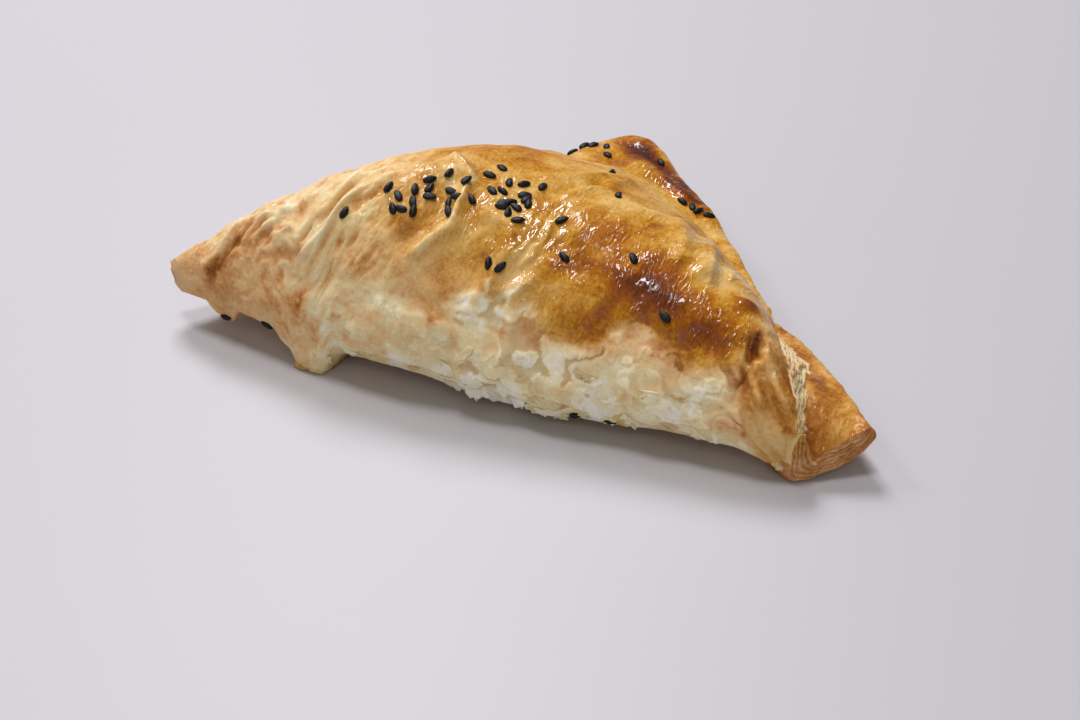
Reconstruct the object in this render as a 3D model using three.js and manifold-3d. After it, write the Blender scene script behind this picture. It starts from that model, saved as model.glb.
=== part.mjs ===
// Turnover pastry: a square of layered dough folded over a filling into a triangle, baked.
// Millimetres, +Z up. X runs along the fold, Y from the fold towards the far corner.
// Every size is set in the body's own frame; the finished solid is moved at the end so
// that the origin is at the middle of the base of its bounding box.
import * as THREE from "three";
import Module from "manifold-3d";

// ---------------------------------------------------------------- driving sizes

const stationCount = 70; // sections along the fold
const shownPoints = 36; // points round the shown part of a section
const hiddenPoints = 8; // points round its underside

// Fold edge in plan, [station, mm]; station 0 is the left tip, 1 the cut seam on the right.
const foldX = [[0, -74.5], [0.5, -3], [0.96, 63.5], [1, 67.5]];
const foldY = [[0, 1], [0.08, 0], [0.25, -2], [0.5, -2.5], [0.75, -1], [0.95, -0.8], [1, 0]];

// Sealed edge in plan: up one leg, round the far corner, down the other leg.
const rimX = [
  [0, -80.3], [0.2, -50], [0.4, -16.5], [0.46, -10.5], [0.52, -1.5],
  [0.57, 6], [0.62, 12.5], [0.72, 27], [0.92, 49.5], [1, 52.5],
];
const rimY = [
  [0, 4.6], [0.2, 40], [0.4, 79.5], [0.46, 87.5], [0.52, 93.3],
  [0.57, 89.5], [0.62, 83], [0.72, 69.3], [0.92, 38.5], [1, 28.5],
];

// Heights along the stations.
const frontLift = [
  [0, 8.8], [0.05, 9.2], [0.12, 6.4], [0.25, 3.2], [0.42, 3.2], [0.55, 1.1],
  [0.68, 1.3], [0.8, 2.9], [0.9, 3.4], [0.95, 1.6], [1, 0.2],
];
const crestHeight = [
  [0, 15.8], [0.06, 21.5], [0.15, 29.9], [0.28, 39], [0.38, 41.6], [0.46, 40.2],
  [0.56, 37.9], [0.68, 36], [0.8, 32.5], [0.9, 27.5], [0.96, 23.2], [1, 20],
];
const rimHeight = [
  [0, 14], [0.1, 13], [0.3, 12.5], [0.4, 16], [0.46, 18], [0.53, 18],
  [0.62, 15.5], [0.72, 13.5], [0.86, 12.8], [0.94, 13.5], [1, 14.5],
];
const rimUnderside = [[0, 9], [0.12, 2.5], [0.4, 3], [0.52, 5], [0.62, 3], [0.9, 2], [1, 4]];
const baseHeight = [[0, 8], [0.15, 0], [1, 0]];

// Distances across a section.
const crestPlace = [[0, 3], [0.1, 9], [0.25, 19], [0.45, 28], [0.6, 27], [0.8, 21], [0.9, 17], [1, 14]];
const rimWidth = [
  [0, 1.5], [0.12, 8], [0.36, 10], [0.44, 14], [0.52, 21.5], [0.58, 18],
  [0.66, 13.5], [0.76, 9.5], [0.88, 6.5], [1, 3],
];
const frontBulge = [[0, 0.2], [0.2, 2], [0.5, 3], [0.8, 1.5], [1, 0.3]];

// Baked drips of dough under the fold: centre, half-width, drop and reach, mm.
const drips = [
  { x: -64.6, half: 4, drop: 5.4, reach: -1.2 },
  { x: -45.2, half: 3.6, drop: 2.4, reach: 0.4 },
  { x: -39.4, half: 4.8, drop: 5.6, reach: 1.8 },
];

// Folds, creases and tears in the crust. Each path is [x, girth] in mm, where girth is the
// distance over the crust from the front lower edge. height above the crust, half width.
const folds = [
  { path: [[-68, 11.6], [-63, 19.7], [-54, 26.4]], height: 0.6, half: 1.3 }, // tip fold
  { path: [[-67, 6.8], [-63, 16.2], [-58.5, 16.5]], height: -0.6, half: 1.2 }, // tip crease
  { path: [[-72, 0.8], [-62, 2.9]], height: -0.7, half: 0.9 }, // edge of the upper sheet over the first drip
  { path: [[-56, 19.2], [-51, 25.5], [-48.5, 32.6]], height: 0.6, half: 1.2 }, // left folds
  { path: [[-49, 23.5], [-47, 27.9], [-44, 40.3]], height: 0.7, half: 1.3 },
  { path: [[-50, 26.8], [-45.5, 32.3], [-42, 40.2]], height: -0.6, half: 1.2 },
  { path: [[-43.5, 30.3], [-40, 36], [-34, 43.2]], height: 0.7, half: 1.3 },
  { path: [[-40, 28], [-34, 35.2], [-27, 43.6]], height: 0.9, half: 1.4 },
  { path: [[-38, 35.2], [-34, 38.2], [-29, 43.7]], height: -0.6, half: 1.1 },
  { path: [[-48, 20.1], [-44, 27.3], [-40, 30]], height: 0.5, half: 1.3 },
  { path: [[-39, 27.5], [-39, 17.5]], height: 0.6, half: 1.8 },
  { path: [[-35, 28.3], [-34, 17.2]], height: -0.6, half: 2.0 },
  // The lip of the tear.
  { path: [[-17, 54.2], [-11, 48.9], [-10, 42.9], [-9, 35.9], [-15, 28.1]], height: 1.3, half: 1.6 },
  { path: [[-14, 46], [-13, 38], [-18, 30.3]], height: -0.9, half: 2.2 }, // bare dough beside it
  { path: [[-3, 40.9], [2, 40], [4, 33]], height: 0.8, half: 1.7 }, // plateau edge
  { path: [[2, 29], [0, 23], [-2, 18.9]], height: 0.9, half: 1.8 }, // fold under the seed pair
  { path: [[5, 26], [9, 28]], height: 0.8, half: 1.6 },
  { path: [[4, 24], [5, 14]], height: -1.1, half: 1.8 }, // furrow down the front
  { path: [[8, 24], [8, 13]], height: 0.8, half: 2.0 },
  { path: [[-5, 11.9], [-6, 4.9]], height: -1.8, half: 2.0 }, // torn hollow at the lower edge
  { path: [[2, 58], [8, 65], [11, 78]], height: 1.0, half: 1.8 }, // folds across the top
  { path: [[5, 52], [12, 63]], height: -0.9, half: 1.8 },
  { path: [[9, 53], [13, 63], [12, 84]], height: 0.8, half: 1.7 },
  { path: [[9, 46], [14, 38], [19, 33]], height: -0.9, half: 3.0 }, // glossy dent
  { path: [[31, 56], [35, 45], [37, 40]], height: 1.0, half: 1.7 }, // right shoulder folds
  { path: [[37, 57], [42, 38]], height: 0.9, half: 1.7 },
  { path: [[42, 50], [46, 36]], height: -0.8, half: 1.7 },
  { path: [[51.5, 32.5], [52, 32]], height: 1.0, half: 2.4 }, // blister
  { path: [[-2, 117.9], [3, 115], [7, 113]], height: -0.8, half: 2.0 }, // scorched groove
  { path: [[4, 108], [12, 106], [18, 102]], height: 1.0, half: 2.2 }, // scorched ridge
  { path: [[55.6, 24.5], [56.2, 20]], height: -1.5, half: 0.7 }, // open crease by the corner
  { path: [[57.4, 24], [57.6, 21]], height: -1.3, half: 0.6 },
  { path: [[56.4, 20], [56.2, 15], [55.2, 11]], height: -0.9, half: 1.0 },
  { path: [[57.5, 20], [59.3, 17.5], [60, 13]], height: 0.7, half: 1.3 },
  { path: [[60, 19], [61.4, 14.8], [63.2, 10]], height: -0.8, half: 1.3 },
  { path: [[57.5, 25], [60.5, 19.5], [63, 15], [66.5, 10]], height: 0.8, half: 1.4 }, // collar fold
];

// Cut corner of the lower sheet, seen past the seam: plan of its front and outer edges.
const cornerStations = 12;
const cornerPoints = 32;
const cornerFrontX = [[0, 52], [0.5, 60], [0.85, 65.5], [1, 67.4]];
const cornerFrontY = [[0, 9], [0.5, 3], [0.85, -0.6], [1, -0.9]];
const cornerOuterX = [[0, 46], [0.35, 57.5], [0.7, 71.3], [1, 80.7]];
const cornerOuterY = [[0, 42], [0.35, 33.2], [0.7, 20], [1, 9.2]];
const cornerFrontTop = [[0, 8], [0.8, 10.5], [1, 9.6]];
const cornerLipTop = [[0, 8], [0.8, 10.5], [1, 11.4]];
const cornerNotch = [[0, 8.5], [0.6, 10], [0.8, 9.6], [1, 5]];
const cornerMiddleTop = [[0, 10], [0.6, 13.6], [0.85, 11.2], [1, 7.5]];
const cornerOuterTop = [[0, 9], [0.5, 11], [1, 10.3]];
const cornerOuterUnder = [[0, 2], [0.6, 3], [1, 6.2]];

// Dough layers standing out of the cut end.
const layerThickness = 0.8;
const layerReach = 0.6;
const endLayers = 3;

// Torn seam at the right end: its layers step out and down from the crust's edge to the foot.
// seamReach is [step round the section, how far the lowest layer stands out].
const seamLayers = 3;
const seamFoot = [[5, 8.2], [6, 9], [7, 12.2]]; // [step round the section, its height]
const seamRise = 0.1; // least that each ring stands out from the one before
const seamReach = [
  [3, 0], [4.2, 0.3], [5, 1.1], [6, 2.3], [7, 3.4], [7.7, 4.4], [8.5, 6.2], [9.2, 6.3],
  [10, 4.8], [11.5, 1.5], [13, 0],
];

// Nigella seeds: size, and runs of them laid from [x, girth] to [x, girth], with how many, and
// how far the first and the last are turned from pointing up the crust, in degrees.
const seedLength = 3;
const seedWidth = 1.8;
const seedThickness = 1.5;
const seedSunk = 0.35; // share of the thickness below the crust
const seedRuns = [
  [-32.6, 32.2, -32.6, 32.2, 1, 21, 21], [-25.3, 40.2, -22.8, 38.8, 2, 8, -42],
  [-23, 35.8, -20.7, 36.4, 2, -30, -85], [-19.9, 40.9, -18, 36.5, 3, -26, -14],
  [-17.9, 45.1, -16.5, 40.6, 2, 55, 72], [-17.4, 42.5, -17.4, 42.5, 1, 1, 1],
  [-15.2, 48.3, -15.2, 48.3, 1, 0, 0], [-12.9, 43.8, -10.9, 45.5, 2, 89, 17],
  [-12.1, 40, -10.8, 41.1, 2, -22, 68], [-11.4, 38, -11.4, 38, 1, -27, -27],
  [-8.2, 42.9, -8.2, 42.9, 1, -49, -49], [-8.4, 51.3, -7.4, 55.1, 2, 90, -59],
  [-3.7, 51.3, -0.6, 52.2, 2, -29, 31], [3.1, 54.4, 3.1, 54.4, 1, 12, 12],
  [-4.9, 46.6, -3.6, 47.4, 2, -60, -54], [1.2, 48.6, 3.4, 46.4, 3, 62, -22],
  [-1.9, 43.7, -0.2, 45.8, 3, 77, 66], [0.8, 42.3, 1, 44.5, 2, -15, -72],
  [3, 40.8, 3, 40.8, 1, 65, 65], [0.7, 30.6, 3.2, 30.5, 2, -19, 24], [11, 44, 11, 44, 1, 43, 43],
  [15.2, 35, 15.2, 35, 1, -54, -54], [28.3, 36.9, 28.3, 36.9, 1, -34, -34],
  [38.1, 24.9, 38.1, 24.9, 1, -66, -66], [16.7, 59, 16.7, 59, 1, -19, -19],
  [7.6, 82.7, 7.6, 82.7, 1, -4, -4], [-4.6, 110.3, -4.6, 110.3, 1, -58, -58],
  [-14.1, 114.1, -10.1, 115.7, 3, 48, 26], [-6.8, 114.7, -6.8, 114.7, 1, -27, -27],
  [7.4, 113.9, 7.4, 113.9, 1, -56, -56], [18.2, 99.3, 25.5, 97, 4, -60, 61],
  [-64.2, 0.6, -64.2, 0.6, 1, 90, 90], [-51.6, 0.4, -51.6, 0.4, 1, -60, -60],
  [22.4, 0.6, 22.4, 0.6, 1, 65, 65], [30, 0.6, 30, 0.6, 1, 90, 90],
];

// ---------------------------------------------------------------- small helpers

const controlCount = 18;
const frontEdgeStep = 3; // control that lies on the front lower edge
const mix = (a, b, t) => a + (b - a) * t;
const clamp = (v, low, high) => Math.min(high, Math.max(low, v));

function ease(low, high, v) {
  const t = clamp((v - low) / (high - low), 0, 1);
  return t * t * (3 - 2 * t);
}

// Smooth curve through [place, value] knots that never overshoots them.
function curve(knots, at) {
  const last = knots.length - 1;
  const place = clamp(at, knots[0][0], knots[last][0]);
  const rise = (i) => (knots[i + 1][1] - knots[i][1]) / (knots[i + 1][0] - knots[i][0]);
  const slope = (i) => {
    if (i === 0) return rise(0);
    if (i === last) return rise(last - 1);
    const before = rise(i - 1);
    const after = rise(i);
    if (before * after <= 0) return 0;
    const wide = (knots[i + 1][1] - knots[i - 1][1]) / (knots[i + 1][0] - knots[i - 1][0]);
    return Math.sign(wide) * Math.min(Math.abs(wide), 3 * Math.min(Math.abs(before), Math.abs(after)));
  };
  let i = 0;
  while (i < last - 1 && place >= knots[i + 1][0]) i += 1;
  const h = knots[i + 1][0] - knots[i][0];
  const t = (place - knots[i][0]) / h;
  const a = (2 * t ** 3 - 3 * t ** 2 + 1) * knots[i][1];
  const b = (t ** 3 - 2 * t ** 2 + t) * h * slope(i);
  const c = (-2 * t ** 3 + 3 * t ** 2) * knots[i + 1][1];
  const d = (t ** 3 - t ** 2) * h * slope(i + 1);
  return a + b + c + d;
}

// Straight-line version of the same.
function polyline(knots, at) {
  let i = 0;
  while (i < knots.length - 2 && at >= knots[i + 1][0]) i += 1;
  const t = clamp((at - knots[i][0]) / (knots[i + 1][0] - knots[i][0]), 0, 1);
  return mix(knots[i][1], knots[i + 1][1], t);
}

// Point at parameter t of the closed smooth curve through the controls.
function closedCurve(controls, t) {
  const n = controls.length;
  const i = Math.floor(t);
  const f = t - i;
  const p = [-1, 0, 1, 2].map((k) => controls[(((i + k) % n) + n) % n]);
  return [0, 1].map((k) => {
    const [a, b, c, d] = p.map((q) => q[k]);
    const square = 2 * a - 5 * b + 4 * c - d;
    const cube = 3 * b - a - 3 * c + d;
    return 0.5 * (2 * b + (c - a) * f + square * f ** 2 + cube * f ** 3);
  });
}

// ---------------------------------------------------------------- body of the turnover

// Section at a station: its line in plan and its controls as [distance from the fold, height].
function sectionAt(s) {
  const fold = [curve(foldX, s), curve(foldY, s)];
  const rim = [curve(rimX, s), curve(rimY, s)];
  const width = Math.hypot(rim[0] - fold[0], rim[1] - fold[1]);
  const along = [(rim[0] - fold[0]) / width, (rim[1] - fold[1]) / width];
  const lift = curve(frontLift, s);
  const crest = curve(crestHeight, s);
  const crestAt = Math.min(curve(crestPlace, s), 0.55 * width);
  const rimTop = curve(rimHeight, s);
  const flat = Math.min(curve(rimWidth, s), 0.4 * width);
  const bulge = curve(frontBulge, s);
  const base = polyline(baseHeight, s);
  const under = polyline(rimUnderside, s);
  const step = Math.max(lift - base, 0);
  const dome = crest - rimTop;
  const slope = width - flat - crestAt;
  let drop = 0;
  let reach = 0;
  for (const drip of drips) {
    const share = Math.exp(-(((fold[0] - drip.x) / drip.half) ** 4));
    drop += drip.drop * share;
    reach += drip.reach * share;
  }
  const lowered = base < 4 ? 0.9 * drop : 0;
  const controls = [
    [0.42 * width, base],
    [0.26 * width, base + 0.05 * step],
    [Math.min(5, 0.16 * width) - 0.8 * reach, base + 0.8 * step - lowered],
    [0.4 - 0.3 * bulge - reach, lift + 0.08 * (crest - lift) - drop],
    [-bulge - 0.1 * reach, lift + 0.3 * (crest - lift)],
    [-0.2 * bulge + 0.05 * crestAt, lift + 0.56 * (crest - lift)],
    [0.28 * crestAt, lift + 0.8 * (crest - lift)],
    [0.6 * crestAt, lift + 0.95 * (crest - lift)],
    [crestAt, crest],
    [crestAt + 0.33 * slope, rimTop + 0.86 * dome],
    [crestAt + 0.7 * slope, rimTop + 0.46 * dome],
    [width - flat, rimTop + 0.05 * dome],
    [width - 0.45 * flat, rimTop],
    [width - 1, rimTop - 1.3],
    [width, 0.5 * (rimTop + under)],
    [width - 1.5, under],
    [0.86 * width, 0.5 * (base + under)],
    [0.65 * width, base],
  ];
  return { s, fold, along, width, controls };
}

function pointOn(section, t) {
  const [w, z] = closedCurve(section.controls, t);
  const { fold, along, width, s } = section;
  const middle = clamp(w / 10, 0, 1) * clamp((width - w) / 12, 0, 1);
  const lean = 0.75 * ease(0.9, 1, s) * middle * clamp(17 - z, 0, 9);
  return new THREE.Vector3(fold[0] + w * along[0] + lean, fold[1] + w * along[1], Math.max(z, 0));
}

// Girth from the front lower edge to every tenth of a control step.
function girthTable(section) {
  const table = [0];
  let before = pointOn(section, frontEdgeStep);
  for (let k = 1; k <= 110; k += 1) {
    const here = pointOn(section, frontEdgeStep + k / 10);
    table.push(table[k - 1] + here.distanceTo(before));
    before = here;
  }
  return table;
}

function girthAt(table, t) {
  const k = (t - frontEdgeStep) * 10;
  if (k <= 0) return k * 0.35;
  const i = Math.min(Math.floor(k), table.length - 2);
  return mix(table[i], table[i + 1], Math.min(k - i, 1));
}

// Random value from -1 to 1 for a whole-numbered place, the same on every run.
function hash(i, j) {
  const value = Math.sin(i * 127.1 + j * 311.7) * 43758.5453;
  return 2 * (value - Math.floor(value)) - 1;
}

// Smooth lumps about one unit across, from -1 to 1.
function lumpNoise(u, v) {
  const i = Math.floor(u);
  const j = Math.floor(v);
  const a = ease(0, 1, u - i);
  const b = ease(0, 1, v - j);
  return mix(mix(hash(i, j), hash(i + 1, j), a), mix(hash(i, j + 1), hash(i + 1, j + 1), a), b);
}

// Height of the crust's own relief at [x, girth]: broad lumps, lower flakes, then the folds.
function relief(x, girth) {
  const lumps = 0.45 * lumpNoise(x / 9, girth / 7) + 0.25 * lumpNoise(x / 4.6, girth / 4.2);
  const flaky = (1 - ease(14, 24, girth + 0.12 * x)) * ease(-50, -38, x) * (1 - ease(48, 56, x));
  const flakes = 0.5 * flaky * lumpNoise(x / 5.5 + 40, girth / 3.8 + 10);
  let height = lumps + flakes;
  for (const fold of folds) {
    let nearest = Infinity;
    for (let k = 0; k + 1 < fold.path.length; k += 1) {
      const [ax, ay] = fold.path[k];
      const [bx, by] = fold.path[k + 1];
      const length = (bx - ax) ** 2 + (by - ay) ** 2;
      const share = clamp(((x - ax) * (bx - ax) + (girth - ay) * (by - ay)) / length, 0, 1);
      nearest = Math.min(nearest, Math.hypot(x - mix(ax, bx, share), girth - mix(ay, by, share)));
    }
    height += fold.height * Math.exp(-((nearest / fold.half) ** 2));
  }
  return height;
}

function outward(s, t) {
  const ds = 0.004;
  const before = pointOn(sectionAt(clamp(s - ds, 0, 1)), t);
  const after = pointOn(sectionAt(clamp(s + ds, 0, 1)), t);
  const section = sectionAt(s);
  const round = pointOn(section, t + 0.05).sub(pointOn(section, t - 0.05));
  return round.cross(after.sub(before)).normalize().negate();
}

// Crust point with its relief; none on the underside.
function crustPoint(section, table, t) {
  const point = pointOn(section, t);
  const shown = ease(2.3, 3.2, t) * (1 - ease(12.7, 13.4, t)) * ease(0, 0.03, section.s);
  if (shown > 0) point.addScaledVector(outward(section.s, t), shown * relief(point.x, girthAt(table, t)));
  point.z = Math.max(point.z, 0);
  return point;
}

// Closed surface from rings of points, each end closed by a fan to its pole or its middle.
function loft(rings, poles) {
  const count = rings[0].length;
  const places = [];
  const faces = [];
  for (const ring of rings) for (const p of ring) places.push(p.x, p.y, p.z);
  [rings[0], rings[rings.length - 1]].forEach((ring, end) => {
    const middle = new THREE.Vector3();
    for (const p of ring) middle.addScaledVector(p, 1 / count);
    const pole = poles ? poles[end] : middle;
    places.push(pole.x, pole.y, pole.z);
  });
  const first = rings.length * count;
  const last = first + 1;
  for (let j = 0; j < count; j += 1) {
    const k = (j + 1) % count;
    for (let i = 0; i + 1 < rings.length; i += 1) {
      const a = i * count + j;
      const b = i * count + k;
      const c = (i + 1) * count + k;
      const d = (i + 1) * count + j;
      faces.push(a, b, c, a, c, d);
    }
    faces.push(first, k, j);
    faces.push(last, (rings.length - 1) * count + j, (rings.length - 1) * count + k);
  }
  return { places, faces };
}

const sectionSteps = [];
for (let j = 0; j < shownPoints; j += 1) sectionSteps.push(2.6 + (10.9 * j) / shownPoints);
for (let j = 0; j < hiddenPoints; j += 1) sectionSteps.push(13.5 + (7.1 * j) / hiddenPoints);

const bodyRings = [];
for (let i = 0; i < stationCount; i += 1) {
  const section = sectionAt(i / (stationCount - 1));
  const table = girthTable(section);
  bodyRings.push(sectionSteps.map((t) => crustPoint(section, table, t % controlCount)));
}

const seamRing = bodyRings[bodyRings.length - 1];
const seamAlong = sectionAt(1).along;
const seamOutward = new THREE.Vector3(seamAlong[1], -seamAlong[0], 0);

// Ring of a layer: its tread as high as the layer above, or its riser lowered to its own height.
function seamStep(layer, lowered) {
  const share = layer / seamLayers;
  return seamRing.map((p, j) => {
    const out = share * polyline(seamReach, sectionSteps[j]) + seamRise * (layer + lowered);
    const moved = p.clone().addScaledVector(seamOutward, out);
    const foot = Math.min(moved.z, polyline(seamFoot, sectionSteps[j]));
    moved.z = mix(moved.z, foot, lowered / seamLayers);
    return moved;
  });
}

for (let layer = 1; layer <= seamLayers; layer += 1) {
  bodyRings.push(seamStep(layer, layer - 1));
  bodyRings.push(seamStep(layer, layer));
}

// ---------------------------------------------------------------- cut corner of the lower sheet

function cornerSection(s) {
  const front = [curve(cornerFrontX, s), curve(cornerFrontY, s)];
  const outer = [curve(cornerOuterX, s), curve(cornerOuterY, s)];
  const width = Math.hypot(outer[0] - front[0], outer[1] - front[1]);
  const along = [(outer[0] - front[0]) / width, (outer[1] - front[1]) / width];
  const frontTop = curve(cornerFrontTop, s);
  const notch = curve(cornerNotch, s);
  const middleTop = curve(cornerMiddleTop, s);
  const outerTop = curve(cornerOuterTop, s);
  const under = curve(cornerOuterUnder, s);
  const controls = [
    [3.6, 0.1],
    [2, 0.1],
    [0.3, 0.6],
    [-0.2, 0.5 * frontTop],
    [0.3, frontTop - 0.4],
    [2, curve(cornerLipTop, s)],
    [4.2, notch],
    [0.36 * width, mix(notch, middleTop, 0.4)],
    [0.58 * width, middleTop],
    [0.82 * width, mix(middleTop, outerTop, 0.7)],
    [width - 0.9, outerTop - 0.3],
    [width, 0.5 * (outerTop + under)],
    [width - 0.9, under],
    [0.82 * width, 0.65 * under],
    [0.58 * width, 0.3 * under],
    [0.36 * width, 0.15 * under],
  ];
  return { front, along, width, controls };
}

const cornerRings = [];
for (let i = 0; i < cornerStations; i += 1) {
  const { front, along, controls } = cornerSection(i / (cornerStations - 1));
  const ring = [];
  for (let j = 0; j < cornerPoints; j += 1) {
    const [w, z] = closedCurve(controls, (controls.length * j) / cornerPoints);
    ring.push(new THREE.Vector3(front[0] + w * along[0], front[1] + w * along[1], Math.max(z, 0)));
  }
  cornerRings.push(ring);
}

// ---------------------------------------------------------------- joining

const wasm = await Module();
wasm.setup();

function solidFrom({ places, faces }) {
  const made = new wasm.Manifold(
    new wasm.Mesh({
      numProp: 3,
      vertProperties: new Float32Array(places),
      triVerts: new Uint32Array(faces),
    }),
  );
  if (made.volume() > 0) return made;
  const turned = [];
  for (let i = 0; i < faces.length; i += 3) turned.push(faces[i], faces[i + 2], faces[i + 1]);
  return solidFrom({ places, faces: turned });
}

let pastry = solidFrom(loft(bodyRings)).add(solidFrom(loft(cornerRings)));

// One dough layer: a thin wavy strip from one point to the other, standing out of a cut face.
function layerStrip(from, to, reach, wave) {
  const steps = 7;
  const side = new THREE.Vector3(to.y - from.y, from.x - to.x, 0).normalize();
  const rings = [];
  for (let i = 0; i <= steps; i += 1) {
    const share = i / steps;
    const middle = from.clone().lerp(to, share);
    middle.z += 0.25 * Math.sin(wave + 5 * share);
    const out = reach * (0.6 + 0.4 * Math.sin(wave * 2.3 + 9 * share));
    const taper = Math.sin(Math.PI * (0.06 + 0.88 * share)) ** 0.4;
    const half = 0.5 * layerThickness * taper;
    rings.push([
      middle.clone().addScaledVector(side, -1.5).setZ(middle.z - half),
      middle.clone().addScaledVector(side, out * taper).setZ(middle.z - half),
      middle.clone().addScaledVector(side, out * taper).setZ(middle.z + half),
      middle.clone().addScaledVector(side, -1.5).setZ(middle.z + half),
    ]);
  }
  return solidFrom(loft(rings));
}

const endFront = new THREE.Vector3(67.9, -0.4, 0);
const endOuter = new THREE.Vector3(80, 8.7, 0);
for (let k = 0; k < endLayers; k += 1) {
  const share = (k + 0.6) / endLayers;
  const from = endFront.clone().setZ(mix(0.4, 3.4, share));
  const to = endOuter.clone().setZ(mix(6.4, 9.9, share));
  pastry = pastry.add(layerStrip(from, to, layerReach, 1.7 * k));
}

// ---------------------------------------------------------------- seeds

let drawState = 20117;
function draw() {
  drawState = (drawState * 16807) % 2147483647;
  return drawState / 2147483647;
}

// Station and step of the crust point nearest to [x, girth].
const search = [];
for (let i = 4; i <= 156; i += 1) {
  const section = sectionAt(i / 160);
  const table = girthTable(section);
  for (let k = 0; k <= 98; k += 1) {
    const t = frontEdgeStep + k / 10;
    search.push({ section, table, t, x: pointOn(section, t).x, girth: table[k] });
  }
}

function crustNear(x, girth) {
  let best = search[0];
  let least = Infinity;
  for (const spot of search) {
    const apart = (spot.x - x) ** 2 + (spot.girth - girth) ** 2;
    if (apart < least) {
      least = apart;
      best = spot;
    }
  }
  return best;
}

// Teardrop lying on the crust: blunt at one end, pointed at the other.
function seedAt(x, girth, turn) {
  const spot = crustNear(x, girth);
  const up = outward(spot.section.s, spot.t);
  const middle = crustPoint(spot.section, spot.table, spot.t);
  middle.addScaledVector(up, (0.5 - seedSunk) * seedThickness);
  const uphill = up.clone().cross(new THREE.Vector3(1, 0, 0)).normalize();
  const across = uphill.clone().cross(up);
  const long = uphill.multiplyScalar(Math.cos(turn)).addScaledVector(across, Math.sin(turn));
  const wide = up.clone().cross(long);
  const around = 6;
  const shape = [[-0.26, 0.96], [0.14, 0.9]];
  const rings = shape.map(([place, girthShare]) => {
    const ring = [];
    for (let j = 0; j < around; j += 1) {
      const a = (2 * Math.PI * j) / around;
      ring.push(
        middle
          .clone()
          .addScaledVector(long, place * seedLength)
          .addScaledVector(wide, 0.5 * seedWidth * girthShare * Math.cos(a))
          .addScaledVector(up, 0.5 * seedThickness * girthShare * Math.sin(a)),
      );
    }
    return ring;
  });
  const poles = [-0.5, 0.5].map((end) => middle.clone().addScaledVector(long, end * seedLength));
  return solidFrom(loft(rings, poles));
}

for (const [x0, g0, x1, g1, count, firstTurn, lastTurn] of seedRuns) {
  for (let k = 0; k < count; k += 1) {
    const share = count > 1 ? k / (count - 1) : 0;
    const turn = THREE.MathUtils.degToRad(mix(firstTurn, lastTurn, share) + 16 * (draw() - 0.5));
    const x = mix(x0, x1, share) + 0.4 * (draw() - 0.5);
    const girth = mix(g0, g1, share) + 0.4 * (draw() - 0.5);
    pastry = pastry.add(seedAt(x, girth, turn));
  }
}

// ---------------------------------------------------------------- export

const box = pastry.boundingBox();
const middleX = 0.5 * (box.min[0] + box.max[0]);
const middleY = 0.5 * (box.min[1] + box.max[1]);
pastry = pastry.translate([-middleX, -middleY, -box.min[2]]);

const mesh = pastry.getMesh();
const geometry = new THREE.BufferGeometry();
geometry.setAttribute("position", new THREE.BufferAttribute(mesh.vertProperties, 3));
geometry.setIndex(new THREE.BufferAttribute(mesh.triVerts, 1));

const turnover = new THREE.Mesh(
  geometry,
  new THREE.MeshStandardMaterial({ color: "#d9a257", roughness: 0.55, metalness: 0 }),
);
turnover.name = "turnover";

const part = new THREE.Group();
part.add(turnover);

export default part;
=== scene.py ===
import math

import bpy
import numpy as np
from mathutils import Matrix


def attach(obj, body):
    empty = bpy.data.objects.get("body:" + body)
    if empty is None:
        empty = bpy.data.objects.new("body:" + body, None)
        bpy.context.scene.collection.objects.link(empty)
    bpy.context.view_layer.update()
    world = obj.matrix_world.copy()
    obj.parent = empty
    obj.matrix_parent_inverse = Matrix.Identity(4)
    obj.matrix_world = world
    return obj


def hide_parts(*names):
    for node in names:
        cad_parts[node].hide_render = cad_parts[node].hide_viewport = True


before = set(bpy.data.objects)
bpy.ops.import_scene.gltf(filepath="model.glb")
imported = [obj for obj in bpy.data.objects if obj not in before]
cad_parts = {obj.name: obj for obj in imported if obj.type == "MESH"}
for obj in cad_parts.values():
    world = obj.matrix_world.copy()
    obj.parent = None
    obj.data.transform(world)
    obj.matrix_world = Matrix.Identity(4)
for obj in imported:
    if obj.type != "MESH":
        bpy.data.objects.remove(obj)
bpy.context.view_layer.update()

# ---------------------------------------------------------------- the folded crust
# One square sheet of puff pastry dough folded over a filling into a triangle and pressed shut
# along its two open edges, then brushed with egg and baked. The egg-washed top is a glazed
# brown skin; the stretched front below it stayed pale and split into thin dough layers.

# Sizes in millimetres in the dough's own frame, [share of the way along the fold, value].
# body_middle is where that frame's origin lies from the middle of the whole pastry.
body_middle = (0.381, 43.742)
fold_x = [[0, -74.5], [0.5, -3], [0.96, 63.5], [1, 67.5]]
fold_y = [[0, 1], [0.08, 0], [0.25, -2], [0.5, -2.5], [0.75, -1], [0.95, -0.8], [1, 0]]
rim_x = [[0, -80.3], [0.2, -50], [0.4, -16.5], [0.46, -10.5], [0.52, -1.5],
         [0.57, 6], [0.62, 12.5], [0.72, 27], [0.92, 49.5], [1, 52.5]]
rim_y = [[0, 4.6], [0.2, 40], [0.4, 79.5], [0.46, 87.5], [0.52, 93.3],
         [0.57, 89.5], [0.62, 83], [0.72, 69.3], [0.92, 38.5], [1, 28.5]]
front_lift = [[0, 8.8], [0.05, 9.2], [0.12, 6.4], [0.25, 3.2], [0.42, 3.2], [0.55, 1.1],
              [0.68, 1.3], [0.8, 2.9], [0.9, 3.4], [0.95, 1.6], [1, 0.2]]
crest_height = [[0, 15.8], [0.06, 21.5], [0.15, 29.9], [0.28, 39], [0.38, 41.6], [0.46, 40.2],
                [0.56, 37.9], [0.68, 36], [0.8, 32.5], [0.9, 27.5], [0.96, 23.2], [1, 20]]
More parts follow.
